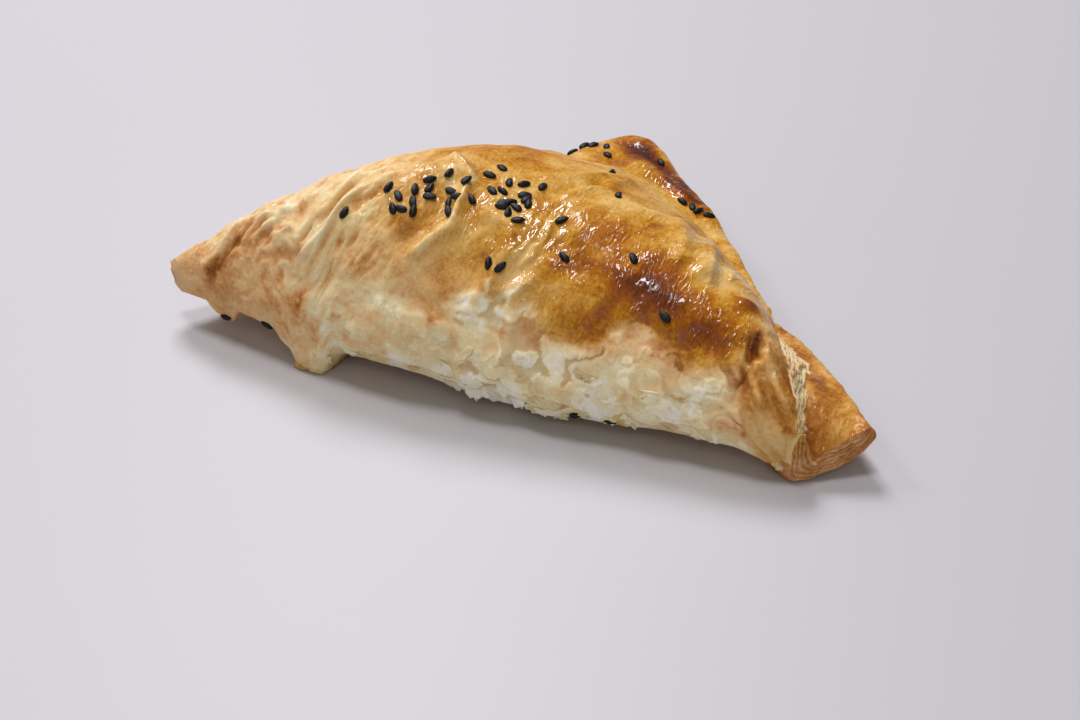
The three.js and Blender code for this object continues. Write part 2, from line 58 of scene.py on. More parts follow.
rim_height = [[0, 14], [0.1, 13], [0.3, 12.5], [0.4, 16], [0.46, 18], [0.53, 18],
              [0.62, 15.5], [0.72, 13.5], [0.86, 12.8], [0.94, 13.5], [1, 14.5]]
rim_underside = [[0, 9], [0.12, 2.5], [0.4, 3], [0.52, 5], [0.62, 3], [0.9, 2], [1, 4]]
base_height = [[0, 8], [0.15, 0], [1, 0]]
crest_place = [[0, 3], [0.1, 9], [0.25, 19], [0.45, 28], [0.6, 27], [0.8, 21], [0.9, 17], [1, 14]]
rim_width = [[0, 1.5], [0.12, 8], [0.36, 10], [0.44, 14], [0.52, 21.5], [0.58, 18],
             [0.66, 13.5], [0.76, 9.5], [0.88, 6.5], [1, 3]]
front_bulge = [[0, 0.2], [0.2, 2], [0.5, 3], [0.8, 1.5], [1, 0.3]]
# Baked drips under the fold: x of the centre, half width, how far down and how far forward.
drips = [[-64.6, 4, 5.4, -1.2], [-45.2, 3.6, 2.4, 0.4], [-39.4, 4.8, 5.6, 1.8]]
front_step, rim_step = 3, 13  # steps round the section at the front lower edge and at the rim

# Folds, creases and tears: path of [x, girth], height above the crust, half width. Girth is
# the distance over the crust from its front lower edge.
folds = [
    ([[-68, 11.6], [-63, 19.7], [-54, 26.4]], 0.6, 1.3),
    ([[-67, 6.8], [-63, 16.2], [-58.5, 16.5]], -0.6, 1.2),
    ([[-72, 0.8], [-62, 2.9]], -0.7, 0.9),
    ([[-56, 19.2], [-51, 25.5], [-48.5, 32.6]], 0.6, 1.2),
    ([[-49, 23.5], [-47, 27.9], [-44, 40.3]], 0.7, 1.3),
    ([[-50, 26.8], [-45.5, 32.3], [-42, 40.2]], -0.6, 1.2),
    ([[-43.5, 30.3], [-40, 36], [-34, 43.2]], 0.7, 1.3),
    ([[-40, 28], [-34, 35.2], [-27, 43.6]], 0.9, 1.4),
    ([[-38, 35.2], [-34, 38.2], [-29, 43.7]], -0.6, 1.1),
    ([[-48, 20.1], [-44, 27.3], [-40, 30]], 0.5, 1.3),
    ([[-39, 27.5], [-39, 17.5]], 0.6, 1.8),
    ([[-35, 28.3], [-34, 17.2]], -0.6, 2.0),
    ([[-17, 54.2], [-11, 48.9], [-10, 42.9], [-9, 35.9], [-15, 28.1]], 1.3, 1.6),
    ([[-14, 46], [-13, 38], [-18, 30.3]], -0.9, 2.2),
    ([[-3, 40.9], [2, 40], [4, 33]], 0.8, 1.7),
    ([[2, 29], [0, 23], [-2, 18.9]], 0.9, 1.8),
    ([[5, 26], [9, 28]], 0.8, 1.6),
    ([[4, 24], [5, 14]], -1.1, 1.8),
    ([[8, 24], [8, 13]], 0.8, 2.0),
    ([[-5, 11.9], [-6, 4.9]], -1.8, 2.0),
    ([[2, 58], [8, 65], [11, 78]], 1.0, 1.8),
    ([[5, 52], [12, 63]], -0.9, 1.8),
    ([[9, 53], [13, 63], [12, 84]], 0.8, 1.7),
    ([[9, 46], [14, 38], [19, 33]], -0.9, 3.0),
    ([[31, 56], [35, 45], [37, 40]], 1.0, 1.7),
    ([[37, 57], [42, 38]], 0.9, 1.7),
    ([[42, 50], [46, 36]], -0.8, 1.7),
    ([[51.5, 32.5], [52, 32]], 1.0, 2.4),
    ([[-2, 117.9], [3, 115], [7, 113]], -0.8, 2.0),
    ([[4, 108], [12, 106], [18, 102]], 1.0, 2.2),
    ([[55.6, 24.5], [56.2, 20]], -1.5, 0.7),
    ([[57.4, 24], [57.6, 21]], -1.3, 0.6),
    ([[56.4, 20], [56.2, 15], [55.2, 11]], -0.9, 1.0),
    ([[57.5, 20], [59.3, 17.5], [60, 13]], 0.7, 1.3),
    ([[60, 19], [61.4, 14.8], [63.2, 10]], -0.8, 1.3),
    ([[57.5, 25], [60.5, 19.5], [63, 15], [66.5, 10]], 0.8, 1.4),
]
# Finer ones: the broken edge of the tear, and streaks of egg wash under the seeds.
fine_folds = [
    ([[-17, 54], [-11.4, 49.2], [-9.9, 43.5], [-9.4, 37]], 0.5, 0.6), ([[-9.4, 37], [-15, 28.5]], 0.35, 0.5),
    ([[9.6, 47.6], [9.8, 38], [7.2, 31.6]], 0.35, 0.6), ([[7.4, 46], [7.4, 38], [5.2, 32.4]], 0.35, 0.5),
    ([[5.2, 43], [5.4, 37], [3.8, 33]], 0.3, 0.5), ([[12.5, 41], [11, 36]], 0.3, 0.5),
    ([[40, 47], [43, 40], [43.5, 35]], 0.4, 0.6), ([[44.5, 45], [46.5, 39]], 0.4, 0.6),
    ([[3, 25.5], [6.5, 24.8], [9, 27.5]], 0.4, 0.6), ([[-3.2, 22.4], [0, 24], [2, 23]], 0.4, 0.7),
]


def ease(low, high, value):
    """0 below low, 1 above high, and 3 t squared minus 2 t cubed of the share t between them."""
    share = np.clip((value - low) / (high - low), 0, 1)
    return share * share * (3 - 2 * share)


def curve(knots, at):
    """Smooth line through [place, value] knots: a cubic between each two, with slopes of at
    most three times the gentler neighbour's rise, so that it never overshoots a knot."""
    place, value = np.array(knots, float).T
    at = np.clip(at, place[0], place[-1])
    rise = np.diff(value) / np.diff(place)
    wide = (value[2:] - value[:-2]) / (place[2:] - place[:-2])
    gentle = 3 * np.minimum(abs(rise[:-1]), abs(rise[1:]))
    inner = np.where(rise[:-1] * rise[1:] > 0, np.sign(wide) * np.minimum(abs(wide), gentle), 0)
    slope = np.concatenate([rise[:1], inner, rise[-1:]])
    i = np.clip(np.searchsorted(place, at, side="right") - 1, 0, len(place) - 2)
    h = place[i + 1] - place[i]
    t = (at - place[i]) / h
    return ((2 * t**3 - 3 * t**2 + 1) * value[i] + (t**3 - 2 * t**2 + t) * h * slope[i]
            + (3 * t**2 - 2 * t**3) * value[i + 1] + (t**3 - t**2) * h * slope[i + 1])


def straight(knots, at):
    """Straight lines between [place, value] knots."""
    place, value = np.array(knots, float).T
    return np.interp(at, place, value)


def closed_curve(controls, t):
    """Point at step t of the closed smooth curve through the controls: the cubic through
    controls b and c whose slope at each is half the gap between its two neighbours."""
    i = np.floor(t).astype(int)
    f = (t - i)[..., None]
    a, b, c, d = [np.take_along_axis(controls, ((i + k) % controls.shape[-2])[..., None, None], -2)[..., 0, :]
                  for k in (-1, 0, 1, 2)]
    return 0.5 * (2 * b + (c - a) * f + (2 * a - 5 * b + 4 * c - d) * f**2
                  + (3 * b - a - 3 * c + d) * f**3)


def section_controls(width, pairs):
    """The controls of a section, [distance from its start, height], for each of its widths."""
    return np.stack([np.stack(np.broadcast_arrays(distance, height, width)[:2], -1)
                     for distance, height in pairs], -2)


def bare_crust(s, t):
    """The crust without its relief. s runs along the fold, and t round the section, whose 18
    controls are [distance from the fold, height]: 3 the front lower edge, 8 the crest, 11 the
    foot of the dome, 13 the rim, and 15 to 18 the underside."""
    s, t = np.broadcast_arrays(np.asarray(s, float), np.asarray(t, float))
    fold = np.stack([curve(fold_x, s), curve(fold_y, s)], -1)
    rim = np.stack([curve(rim_x, s), curve(rim_y, s)], -1)
    width = np.hypot(rim[..., 0] - fold[..., 0], rim[..., 1] - fold[..., 1])
    along = (rim - fold) / width[..., None]
    lift, crest, rim_top = curve(front_lift, s), curve(crest_height, s), curve(rim_height, s)
    crest_at = np.minimum(curve(crest_place, s), 0.55 * width)
    flat = np.minimum(curve(rim_width, s), 0.4 * width)
    bulge, base, under = curve(front_bulge, s), straight(base_height, s), straight(rim_underside, s)
    step, dome, rise = np.maximum(lift - base, 0), crest - rim_top, crest - lift
    slope = width - flat - crest_at
    share = [np.exp(-(((fold[..., 0] - x) / half) ** 4)) for x, half, _, _ in drips]
    drop = sum(drip[2] * w for drip, w in zip(drips, share))
    reach = sum(drip[3] * w for drip, w in zip(drips, share))
    lowered = np.where(base < 4, 0.9 * drop, 0)
    controls = section_controls(width, [
        (0.42 * width, base),
        (0.26 * width, base + 0.05 * step),
        (np.minimum(5, 0.16 * width) - 0.8 * reach, base + 0.8 * step - lowered),
        (0.4 - 0.3 * bulge - reach, lift + 0.08 * rise - drop),
        (-bulge - 0.1 * reach, lift + 0.3 * rise),
        (-0.2 * bulge + 0.05 * crest_at, lift + 0.56 * rise),
        (0.28 * crest_at, lift + 0.8 * rise),
        (0.6 * crest_at, lift + 0.95 * rise),
        (crest_at, crest),
        (crest_at + 0.33 * slope, rim_top + 0.86 * dome),
        (crest_at + 0.7 * slope, rim_top + 0.46 * dome),
        (width - flat, rim_top + 0.05 * dome),
        (width - 0.45 * flat, rim_top),
        (width - 1, rim_top - 1.3),
        (width, 0.5 * (rim_top + under)),
        (width - 1.5, under),
        (0.86 * width, 0.5 * (base + under)),
        (0.65 * width, base),
    ])
    w, z = np.moveaxis(closed_curve(controls, t), -1, 0)
    middle = np.clip(w / 10, 0, 1) * np.clip((width - w) / 12, 0, 1)
    lean = 0.75 * ease(0.9, 1, s) * middle * np.clip(17 - z, 0, 9)
    x, y = fold[..., 0] + w * along[..., 0] + lean, fold[..., 1] + w * along[..., 1]
    return np.stack([x, y, np.maximum(z, 0)], -1)


def girth_of(s, t):
    """Distance over the crust from the front lower edge: the lengths of chords of a tenth of a
    step, summed. Below that edge it falls by the same distance for each chord."""
    chord_count, chords_a_step, chord_below = 110, 10, 0.35
    steps = front_step + np.arange(chord_count + 1) / chords_a_step
    line = bare_crust(s[:, None], steps)
    chords = np.linalg.norm(np.diff(line, axis=1), axis=2)
    table = np.pad(np.cumsum(chords, 1), ((0, 0), (1, 0)))
    k = (t - front_step) * chords_a_step
    i = np.clip(np.floor(k).astype(int), 0, chord_count - 1)
    share = np.clip(k - i, 0, 1)
    return np.where(k <= 0, k * chord_below, table[:, i] * (1 - share) + table[:, i + 1] * share)


def outward(s, t):
    """Unit normal of the bare crust: the way round it crossed with the way along it."""
    share_apart, steps_apart = 0.004, 0.05
    along = bare_crust(np.clip(s + share_apart, 0, 1), t) - bare_crust(np.clip(s - share_apart, 0, 1), t)
    way_round = bare_crust(s, t + steps_apart) - bare_crust(s, t - steps_apart)
    normal = np.cross(along, way_round)
    return normal / np.linalg.norm(normal, axis=-1, keepdims=True)


def lumps(u, v):
    """Smooth lumps about one unit across, from -1 to 1: random values at whole places, from
    the broken part of a large sine, eased into each other."""
    i, j = np.floor(u), np.floor(v)
    a, b = ease(0, 1, u - i), ease(0, 1, v - j)
    wave_u, wave_v, wave_height = 127.1, 311.7, 43758.5453
    corner = [np.sin((i + p) * wave_u + (j + q) * wave_v) * wave_height
              for p, q in ((0, 0), (1, 0), (0, 1), (1, 1))]
    low_left, low_right, top_left, top_right = [2 * (value - np.floor(value)) - 1 for value in corner]
    low = low_left + (low_right - low_left) * a
    return low + (top_left + (top_right - top_left) * a - low) * b


def rough(u, v, octaves):
    """Lumps with smaller ones on them, each half the size and height, moved aside and turned
    37 degrees."""
    total, height = 0, 1
    for octave in range(octaves):
        total = total + height * lumps(u + 17.3 * octave, v - 9.1 * octave)
        u, v = 2 * (0.8 * u - 0.6 * v), 2 * (0.6 * u + 0.8 * v)
        height *= 0.5
    return total


def near_path(path, x, girth):
    """Distance from a path of straight lines."""
    nearest = np.inf
    for (ax, ay), (bx, by) in zip(path[:-1], path[1:]):
        length = (bx - ax) ** 2 + (by - ay) ** 2
        share = np.clip(((x - ax) * (bx - ax) + (girth - ay) * (by - ay)) / length, 0, 1)
        nearest = np.minimum(nearest, np.hypot(x - ax - share * (bx - ax), girth - ay - share * (by - ay)))
    return nearest


# Upper end of the pale, torn front: [x, girth].
pale_edge = [[-80, -8], [-62, -5], [-52, 0], [-45, 7], [-38, 16], [-30, 20], [-20, 21],
             [-14, 19], [-9, 17], [-6, 20], [-2, 24], [5, 25], [12, 23], [16, 20.5], [19, 19.5], [22.5, 17],
             [25.5, 16], [27, 19], [29, 21], [31, 21.5], [34, 21], [37.4, 19.2], [40, 17.6], [43, 17],
             [50, 17], [53.5, 17.5], [56, 13], [58, 5], [62, -4], [80, -8]]
patch_size = [[-80, 6], [-25, 6], [0, 4], [20, 2.4], [60, 2]]  # how far its patches reach, by x
layer_thickness = 0.14  # mm, one baked dough layer with the air under it
torn_sizes = [(11, -0.3), (8, -0.1), (6, 0.1), (4.2, 0.25), (3, 0.4)]  # mm across, level, from below
blister_height = 0.14  # mm


def above_pale(x, girth):
    """Distance in mm above the pale front's upper end, whose line breaks up into patches."""
    wander = straight(patch_size, x) * rough(x / 5 + 3, girth / 4 + 8, 4)
    return girth + wander - straight(pale_edge, x + 2.2 * rough(x / 5 + 31, girth / 5, 2))


def torn_layers(x, girth):
    """Height and tone of the torn layers: each layer covers the crust where its own lumps
    stand above a level, and ends in a raised, pale edge with a painted shadow in the gap beside
    it; later layers lie on earlier ones."""
    height, tone_and_shade = 0, 0
    wx = x + 0.6 * rough(x / 2.2, girth / 2.2 + 60, 2)
    wy = girth + 0.6 * rough(x / 2.2 + 70, girth / 2.2, 2)
    for layer, (size, level) in enumerate(torn_sizes):
        field = lumps(wx / size + 11 * layer, wy / (0.75 * size) - 7 * layer) - level
        cover = ease(-0.04, 0.04, field)
        lip = np.exp(-(((field - 0.07) / 0.06) ** 2))
        # Painted shadow: a dark line in the gap just outside each layer's edge.
        gap_shade = np.exp(-(((field + 0.06) / 0.05) ** 2)) * ease(-40, -15, x)
        height = height + layer_thickness * (cover + 0.4 * lip)
        own = lumps(np.full_like(x, 3.0 * layer), 0.7 * layer + np.floor(2.5 * field)) + 0.4 * lip
        tone_and_shade = tone_and_shade * (1 - cover) + cover * own - 0.35 * gap_shade
    return height, tone_and_shade


def wrinkles(x, girth):
    """Stretch wrinkles of the skin, from about -1 to 1: narrow crests that run up the crust to
    the right, closer and deeper at the left, and down to the right on the twisted end."""
    along, across = 0.5 * x + 0.87 * girth, 0.87 * x - 0.5 * girth
    gathered = 0.9 - 1.8 * abs(rough(along / 8 + 4, (across + 1.5 * lumps(x / 11, girth / 11)) / 2.4, 3))
    even = rough(along / 9 + 4, (across + 1.5 * lumps(x / 11, girth / 11)) / 2.3, 2)
    twisted = rough((0.56 * x - 0.83 * girth) / 9, (0.83 * x + 0.56 * girth) / 1.5, 2)
    left = (1 - ease(-30, -12, x)) * ease(8, 20, girth) * (1 - ease(60, 75, girth))
    right = ease(53.5, 56, x) * (1 - ease(24, 28, girth))
    return even * (1 - left) * (1 - right) + gathered * left + twisted * right, left, right


def blisters(x, girth):
    """Small pale blisters of the dry skin at the left and on the collar, from 0 to 1."""
    dry = ease(-2, 6, girth) * (1 - ease(-22, -8, x) * (1 - ease(54, 58, x))) * (1 - ease(60, 75, girth))
    return dry * ease(0.25, 0.9, rough(x / 1.3 + 6, girth / 1.1 + 9, 2))


def relief(x, girth):
    """Height of the crust's relief in mm: broad lumps, each fold as a bell across its path,
    torn layers below the glaze, and fine stretch wrinkles and blisters above it."""
    flaky = (1 - ease(14, 24, girth + 0.12 * x)) * ease(-50, -38, x) * (1 - ease(48, 56, x))
    height = 0.45 * lumps(x / 9, girth / 7) + 0.25 * lumps(x / 4.6, girth / 4.2)
    height = height + 0.5 * flaky * lumps(x / 5.5 + 40, girth / 3.8 + 10)
    for path, tall, half in folds:
        height = height + tall * np.exp(-((near_path(path, x, girth) / half) ** 2))
    for path, tall, half in fine_folds:
        away = near_path(path, x + 0.4 * rough(x / 1.5, girth / 1.5, 2), girth)
        height = height + tall * np.exp(-((away / half) ** 2))
    above = above_pale(x, girth)
    torn = ease(-48, -36, x) * (1 - ease(56, 62, x)) * (1 - ease(-1.5, 1.5, above))
    height = height + torn * (torn_layers(x, girth)[0] - 2.5 * layer_thickness)
    wrinkle, left, right = wrinkles(x, girth)
    height = height + (0.16 + 0.22 * left + 0.24 * right) * ease(-2, 4, above) * wrinkle
    return height + blister_height * blisters(x, girth)


def crust(s, t, girth):
    """Crust point with its relief, which fades out on the underside and at the left tip."""
    bare = bare_crust(s, t)
    shown = ease(2.3, 3.2, t) * (1 - ease(12.7, 13.4, t)) * ease(0, 0.03, s)
    point = bare + (shown * relief(bare[..., 0], girth))[..., None] * outward(s, t)
    point[..., 2] = np.maximum(point[..., 2], 0)
    return point


def new_piece(name, points, faces, fields):
    """Mesh object of points in mm, moved into the pastry's frame in metres. Each field, one
    number a point, becomes an attribute of the mesh."""
    mm_a_metre = 1000
    mesh = bpy.data.meshes.new(name)
    mesh.from_pydata((points - [*body_middle, 0]) / mm_a_metre, [], faces)
    for field, values in fields.items():
        mesh.attributes.new(field, "FLOAT", "POINT").data.foreach_set("value", values.astype(np.float32))
    mesh.shade_smooth()
    made = bpy.data.objects.new(name, mesh)
    bpy.context.scene.collection.objects.link(made)
    return made


def closed_shell(name, body_rings, end_rings, fields, last_row=None):
    """Piece of closed rings of points, those of its body and those of its end, each an array of
    rings by points by 3 in mm. Each ring is joined to the next, and each end is closed by a fan
    to its middle. last_row gives, where the last ring folds flat onto itself, which of its
    points stands for each. A field has a number for each point of the body, and of the end."""
    rings = np.concatenate([body_rings, end_rings])
    count, size = rings.shape[:2]
    points = np.concatenate([rings.reshape(-1, 3), [rings[0].mean(0), rings[-1].mean(0)]])
    index = np.arange(count * size).reshape(count, size)
    if last_row is not None:
        index[-1] = index[-1][last_row]
    ahead = np.roll(index, -1, 1)
    quads = np.stack([index[:-1], index[1:], ahead[1:], ahead[:-1]], -1).reshape(-1, 4)
    fans = [np.stack([0 * index[0] + count * size, index[0], ahead[0]], -1)]
    if last_row is None:
        fans.append(np.stack([0 * index[0] + count * size + 1, ahead[-1], index[-1]], -1))
    fans = np.concatenate(fans)
    used = np.zeros(len(points), bool)
    used[quads] = used[fans] = True
    renumbered = np.cumsum(used) - 1
    used_values = {}
    for field, parts in fields.items():
        values = np.concatenate([np.broadcast_to(part, part_rings.shape[:2])
                                 for part, part_rings in zip(parts, (body_rings, end_rings))])
        used_values[field] = np.append(values.ravel(), [np.mean(values[0]), np.mean(values[-1])])[used]
    faces = renumbered[quads].tolist() + renumbered[fans].tolist()
    return new_piece(name, points[used], faces, used_values)


# Depth of baking, from 0 for pale dough to 1 for burnt: ellipses of [x, girth, half length,
# half width, degrees it is turned, change of depth]. Some spots are painted light: the paler
# ones at x 7 in the glossy dent and at x 46 on the right shoulder are a painted highlight and
# painted light, and the narrow dark ones along the creases at x -63.5 and x 4.8, in the slits
# and the crease at x 56, and in the valleys between the left ridges at x -48 to -35 are
# painted shade over a deeper bake.
bake_and_painted_light_spots = [
    [14, 39, 9, 5, 0, 0.05], [24, 34, 10, 6, -12, 0.12], [34.5, 32, 8, 5, -20, 0.17],
    [31, 28, 11, 7, -10, 0.11], [46, 22.5, 10, 4.5, 5, 0.21], [18, 43, 14, 5, -6, 0.05],
    [36, 37, 3.5, 2.5, 0, 0.08], [45, 31, 5, 3, -50, 0.08], [52, 32, 2.6, 2.6, 0, 0.28],
    [46, 39, 6, 8, 0, -0.08], [-8, 26, 14, 10, 0, -0.04], [22, 20, 5, 5, 0, 0.03],
    [5, 37, 4, 3, 0, 0.06], [-20, 35.4, 9, 7, 0, 0.04], [7, 39, 2.2, 8, 0, -0.05],
    [18, 46, 10, 3.5, 0, 0.04],
    [-9.5, 17, 2.2, 7, -20, 0.06], [4.8, 18, 1.4, 6, 0, 0.22], [-40, 13, 12, 5, 0, 0.02],
    [2, 116, 8, 3, -35, 0.30], [14, 107, 9, 3, -40, 0.28], [20, 101, 5, 3, -40, 0.22],
    [5, 112, 25, 14, -40, 0.05], [-63.5, 14.5, 5, 1.3, 58, 0.26], [-60, 15.5, 4, 1.5, 30, 0.12],
    [-36, 22.8, 4, 3, 0, 0.08], [-44, 18.3, 4, 3, 0, 0.05], [-56, 15.5, 8, 5, 0, 0.06],
    [-48, 26.1, 1.2, 6, -25, 0.10],
    [-42, 37.2, 1.3, 5, -30, 0.10], [-35.5, 37.5, 1.2, 4, -35, 0.10], [56.3, 23.2, 0.9, 2.2, 0, 0.36],
    [56.2, 16, 0.6, 5, 0, 0.14], [64.5, 17, 2.4, 12, 22, 0.10],
    [66.3, 9.6, 1.2, 1.2, 0, 0.10], [-17, 48.2, 2.5, 4, 0, -0.06], [-46, 36, 22, 10, 20, -0.05],
    [8, 60, 45, 12, 0, 0.03], [-22, 49.5, 13, 5, 0, 0.07], [0, 37, 3.5, 6, 0, 0.05],
    [-17, 29.5, 4, 3, 0, 0.05], [-11, 31.5, 3, 3, 0, -0.04],
]
# Along the pastry, as [x, value]: depth of the skin and of the bare dough, over how many mm the
# skin ends, how much of it is egg-washed, and how much it shines.
skin_depth = [[-80, 0.43], [-60, 0.43], [-45, 0.39], [-34, 0.39], [-25, 0.46], [-5, 0.47], [12, 0.46],
              [30, 0.46], [50, 0.45], [58, 0.43], [70, 0.44]]
bare_depth = [[-80, 0.32], [-45, 0.33], [-20, 0.27], [-4, 0.18], [4, 0.14], [20, 0.15], [40, 0.19],
              [60, 0.26]]
skin_end = [[-80, 5], [-25, 5], [-5, 2.4], [24, 2.2], [31, 2.8], [40, 1.8], [48, 1.4], [54, 3], [62, 5]]
gloss = [[-80, 0.3], [-42, 0.2], [-28, 0.6], [-12, 0.9], [0, 1], [53, 1], [57, 0.5], [60, 0.6],
         [63, 0.7], [70, 0.7]]
shine_along = [[-80, 0.9], [-25, 0.8], [0, 1], [54, 1], [60, 0.3]]

# Pale lines: path of [x, girth], half width, how much paler. Most are pale broken edges of
# the skin; those along the left ridges' crests and in the glossy dent under the seeds are
# painted highlights.
pale_edges_and_highlights = [
    ([[-16.3, 49.5], [-14.6, 46.4], [-12.6, 44.6]], 1.2, 0.24),
    ([[8.6, 47.3], [8.7, 37.5], [5.5, 31.8]], 0.7, 0.06), ([[5.5, 41], [6.2, 37], [4.6, 33]], 0.5, 0.06),
    ([[-17.5, 54], [-13.9, 50], [-9.7, 48.4], [-10.3, 44.2], [-9.6, 40.3], [-9.4, 37]], 0.5, 0.24),
    ([[-9.4, 37], [-11.5, 33], [-14.5, 28.9]], 0.8, 0.2), ([[1.6, 27.6], [1.5, 24.5]], 0.4, 0.25),
    ([[8.2, 27.1], [6.1, 25.6], [4.1, 24.1]], 0.7, 0.3), ([[6.5, 24.8], [5.7, 21.7], [5.6, 18.7]], 0.6, 0.3),
    ([[-2.2, 22.2], [-0.2, 23.6], [1.8, 23]], 1.0, 0.3), ([[-48, 31.1], [-44, 42.3]], 0.8, 0.1),
    ([[-40, 28], [-34, 35.7], [-27, 43.6]], 0.9, 0.14), ([[-68, 12.1], [-63, 20.2], [-54, 26.9]], 0.8, 0.1),
    ([[-43.5, 30.8], [-40, 36.5], [-34, 43.7]], 0.8, 0.1),
    ([[-56, 19.7], [-51, 26], [-48.5, 32.6]], 0.8, 0.08),
    ([[-39, 33.5], [-37, 29.1], [-37, 20.1], [-34, 9.2]], 1.4, 0.12),
]


def bake_depth_and_painted_light(x, girth):
    """Depth of baking with painted highlight and shade in it, how far the skin covers the dough,
    how much of it is egg-washed, and how much it shines: the skin's own depth along the pastry,
    faded to pale dough below the skin's edge, plus each spot and less each pale line, as bells
    round their places, some of them painted highlight and shade, with blisters paler, and with
    wrinkle crests paler and hollows darker as painted highlight and painted shade."""
    wx = x + 1.3 * rough(x / 4 + 5, girth / 4, 3)
    wy = girth + 1.3 * rough(x / 4, girth / 4 + 50, 3)
    above = above_pale(x, girth)
    skin = ease(-1, 1, above / straight(skin_end, x))
    dough_depth = straight(bare_depth, wx)
    dough_depth = dough_depth + 0.12 * ease(0.1, 0.9, rough(x / 7 + 9, girth / 6 + 3, 3))
    dough_depth = dough_depth + 0.04 * ease(8, 16, girth) - 0.05 * (1 - ease(3, 9, girth))
    dough_depth = dough_depth + 0.12 * ease(-5, 0.5, above) * ease(-30, -10, x)
    depth = dough_depth + (straight(skin_depth, wx) - dough_depth) * skin
    for cx, cy, long, short, turn, change in bake_and_painted_light_spots:
        c, s = math.cos(math.radians(turn)), math.sin(math.radians(turn))
        u, v = (wx - cx) * c + (wy - cy) * s, (wy - cy) * c - (wx - cx) * s
        depth = depth + change * np.exp(-((u / long) ** 2) - (v / short) ** 2)
    wrinkle, left, right = wrinkles(x, girth)
    depth = depth + 0.08 * rough(x / 7, girth / 7 + 20, 4)
    # Painted highlight and painted shade: wrinkle crests paler and their hollows darker.
    depth = depth - (0.16 * left + 0.08 * right) * np.maximum(wrinkle, -0.6)
    blotches = ease(0, 0.4, rough(x / 3.4 + 80, girth / 2.6 + 5, 3)) * (1 - ease(16, 30, girth))
    blotches = blotches * (1 - ease(-20, -8, x)) * (0.3 + 0.7 * ease(-58, -42, x))
    depth = depth - 0.11 * blotches - 0.05 * blisters(x, girth)
    for path, half, paler in pale_edges_and_highlights:
        away = near_path(path, x + 0.5 * rough(x / 1.5, girth / 1.5, 2), girth)
        depth = depth - paler * np.exp(-((away / half) ** 2))
    shine = straight(shine_along, x) * ease(16, 28, girth + 0.4 * np.maximum(x, 0))
    shine = shine * (1 - 0.85 * ease(48, 60, girth) * (1 - ease(96, 104, girth)))
    shine = shine * (1 + 1.5 * np.exp(-(((wx - 7) / 6) ** 2) - ((wy - 39) / 9) ** 2))
    glaze = skin * straight(gloss, x) * (1 - 0.5 * (1 - ease(20, 34, girth)) * (1 - ease(5, 12, x)))
    return np.maximum(depth, 0), skin, glaze, skin * shine


# The grid is closer at the right end and over the front, and wider over the underside, whose
# dough baked evenly.
crust_s = np.concatenate([np.linspace(0, 0.86, 320)[:-1], np.linspace(0.86, 1, 80)])
crust_t = np.concatenate([np.arange(2.6, 3, 0.05), np.arange(3, 8, 0.045), np.arange(8, 13.5, 0.08),
                          np.linspace(13.5, 20.6, 26)[:-1]])
crust_girth = girth_of(crust_s, crust_t)
crust_points = crust(crust_s[:, None], crust_t, crust_girth)
crust_x = bare_crust(crust_s[:, None], crust_t)[..., 0]
depth, skin, glaze, shine = bake_depth_and_painted_light(crust_x, crust_girth)
_, tone_and_shade = torn_layers(crust_x, crust_girth)
hidden = ease(13.2, 13.8, crust_t) * (1 - ease(20.0, 20.6, crust_t)) + 0 * crust_girth
underside_depth = 0.40 + 0.06 * rough(crust_points[..., 0] / 9, crust_points[..., 1] / 9, 3)
depth = depth * (1 - hidden) + hidden * underside_depth
skin, glaze, shine = skin * (1 - hidden) + 0.5 * hidden, glaze * (1 - hidden), shine * (1 - hidden)

# The torn seam at the right end: the dough layers step out and down from the crust's edge to
# the lower sheet, each with a broken edge. By step round the section, in mm, seam_reach is how
# far the lowest layer stands out, and seam_foot how high it lies at most.
seam_layers, rings_a_layer = 7, 4
seam_foot = [[5, 8.2], [6, 9], [7, 12.2]]
seam_reach = [[3, 0], [4.2, 0.3], [5, 1.1], [6, 2.3], [7, 3.4], [7.7, 4.4], [8.5, 6.2], [9.2, 6.3],
              [10, 4.8], [11.5, 1.5], [13, 0]]
seam_steps = np.arange(1, seam_layers * rings_a_layer + 1)[:, None] / rings_a_layer - 0.02
seam_layer, within = np.floor(seam_steps), seam_steps % 1
tread = (seam_layer + ease(0, 0.6, within)) / seam_layers
riser = (seam_layer + ease(0.4, 1, within)) / seam_layers
fold_end, rim_end = bare_crust(1.0, front_step), bare_crust(1.0, rim_step)
across = (rim_end - fold_end)[:2] / np.linalg.norm((rim_end - fold_end)[:2])
seam_outward = np.array([across[1], -across[0], 0])
broken = 0.42 * rough(crust_girth[-1] / 1.1 + 9 * seam_layer, 3.7 * seam_layer, 4)
step_out = straight(seam_reach, crust_t) * tread + broken * ease(0.3, 1.5, straight(seam_reach, crust_t))
seam_rings = crust_points[-1] + step_out[..., None] * seam_outward
foot_here = np.minimum(seam_rings[..., 2], straight(seam_foot, crust_t))
seam_rings[..., 2] += riser * (foot_here - seam_rings[..., 2])
# Each layer is painted darker where it drops to the next: painted shade between the layers.
seam_bake_and_shade = 0.22 + 0.14 * ease(0.5, 1, within) + 0.3 * broken + 0.14 * (1 - ease(4.2, 6, crust_t))

tone_strength = [[-45, 0.35], [-12, 0.5], [4, 0.9]]  # how far the torn layers differ, by x
crust_tone_and_shade = tone_and_shade * (1 - skin) * straight(tone_strength, crust_x)
folded_crust = closed_shell("folded_crust", crust_points, seam_rings, {
    "bake_and_painted_light": (depth, seam_bake_and_shade), "skin": (skin, 0), "glaze": (glaze, 0), "shine": (shine, 0),
    "tone_and_shade": (crust_tone_and_shade, 0.8 * broken), "lengthwise": (crust_x, crust_x[-1] + step_out),
    "upward": (crust_girth, crust_girth[-1]),
})


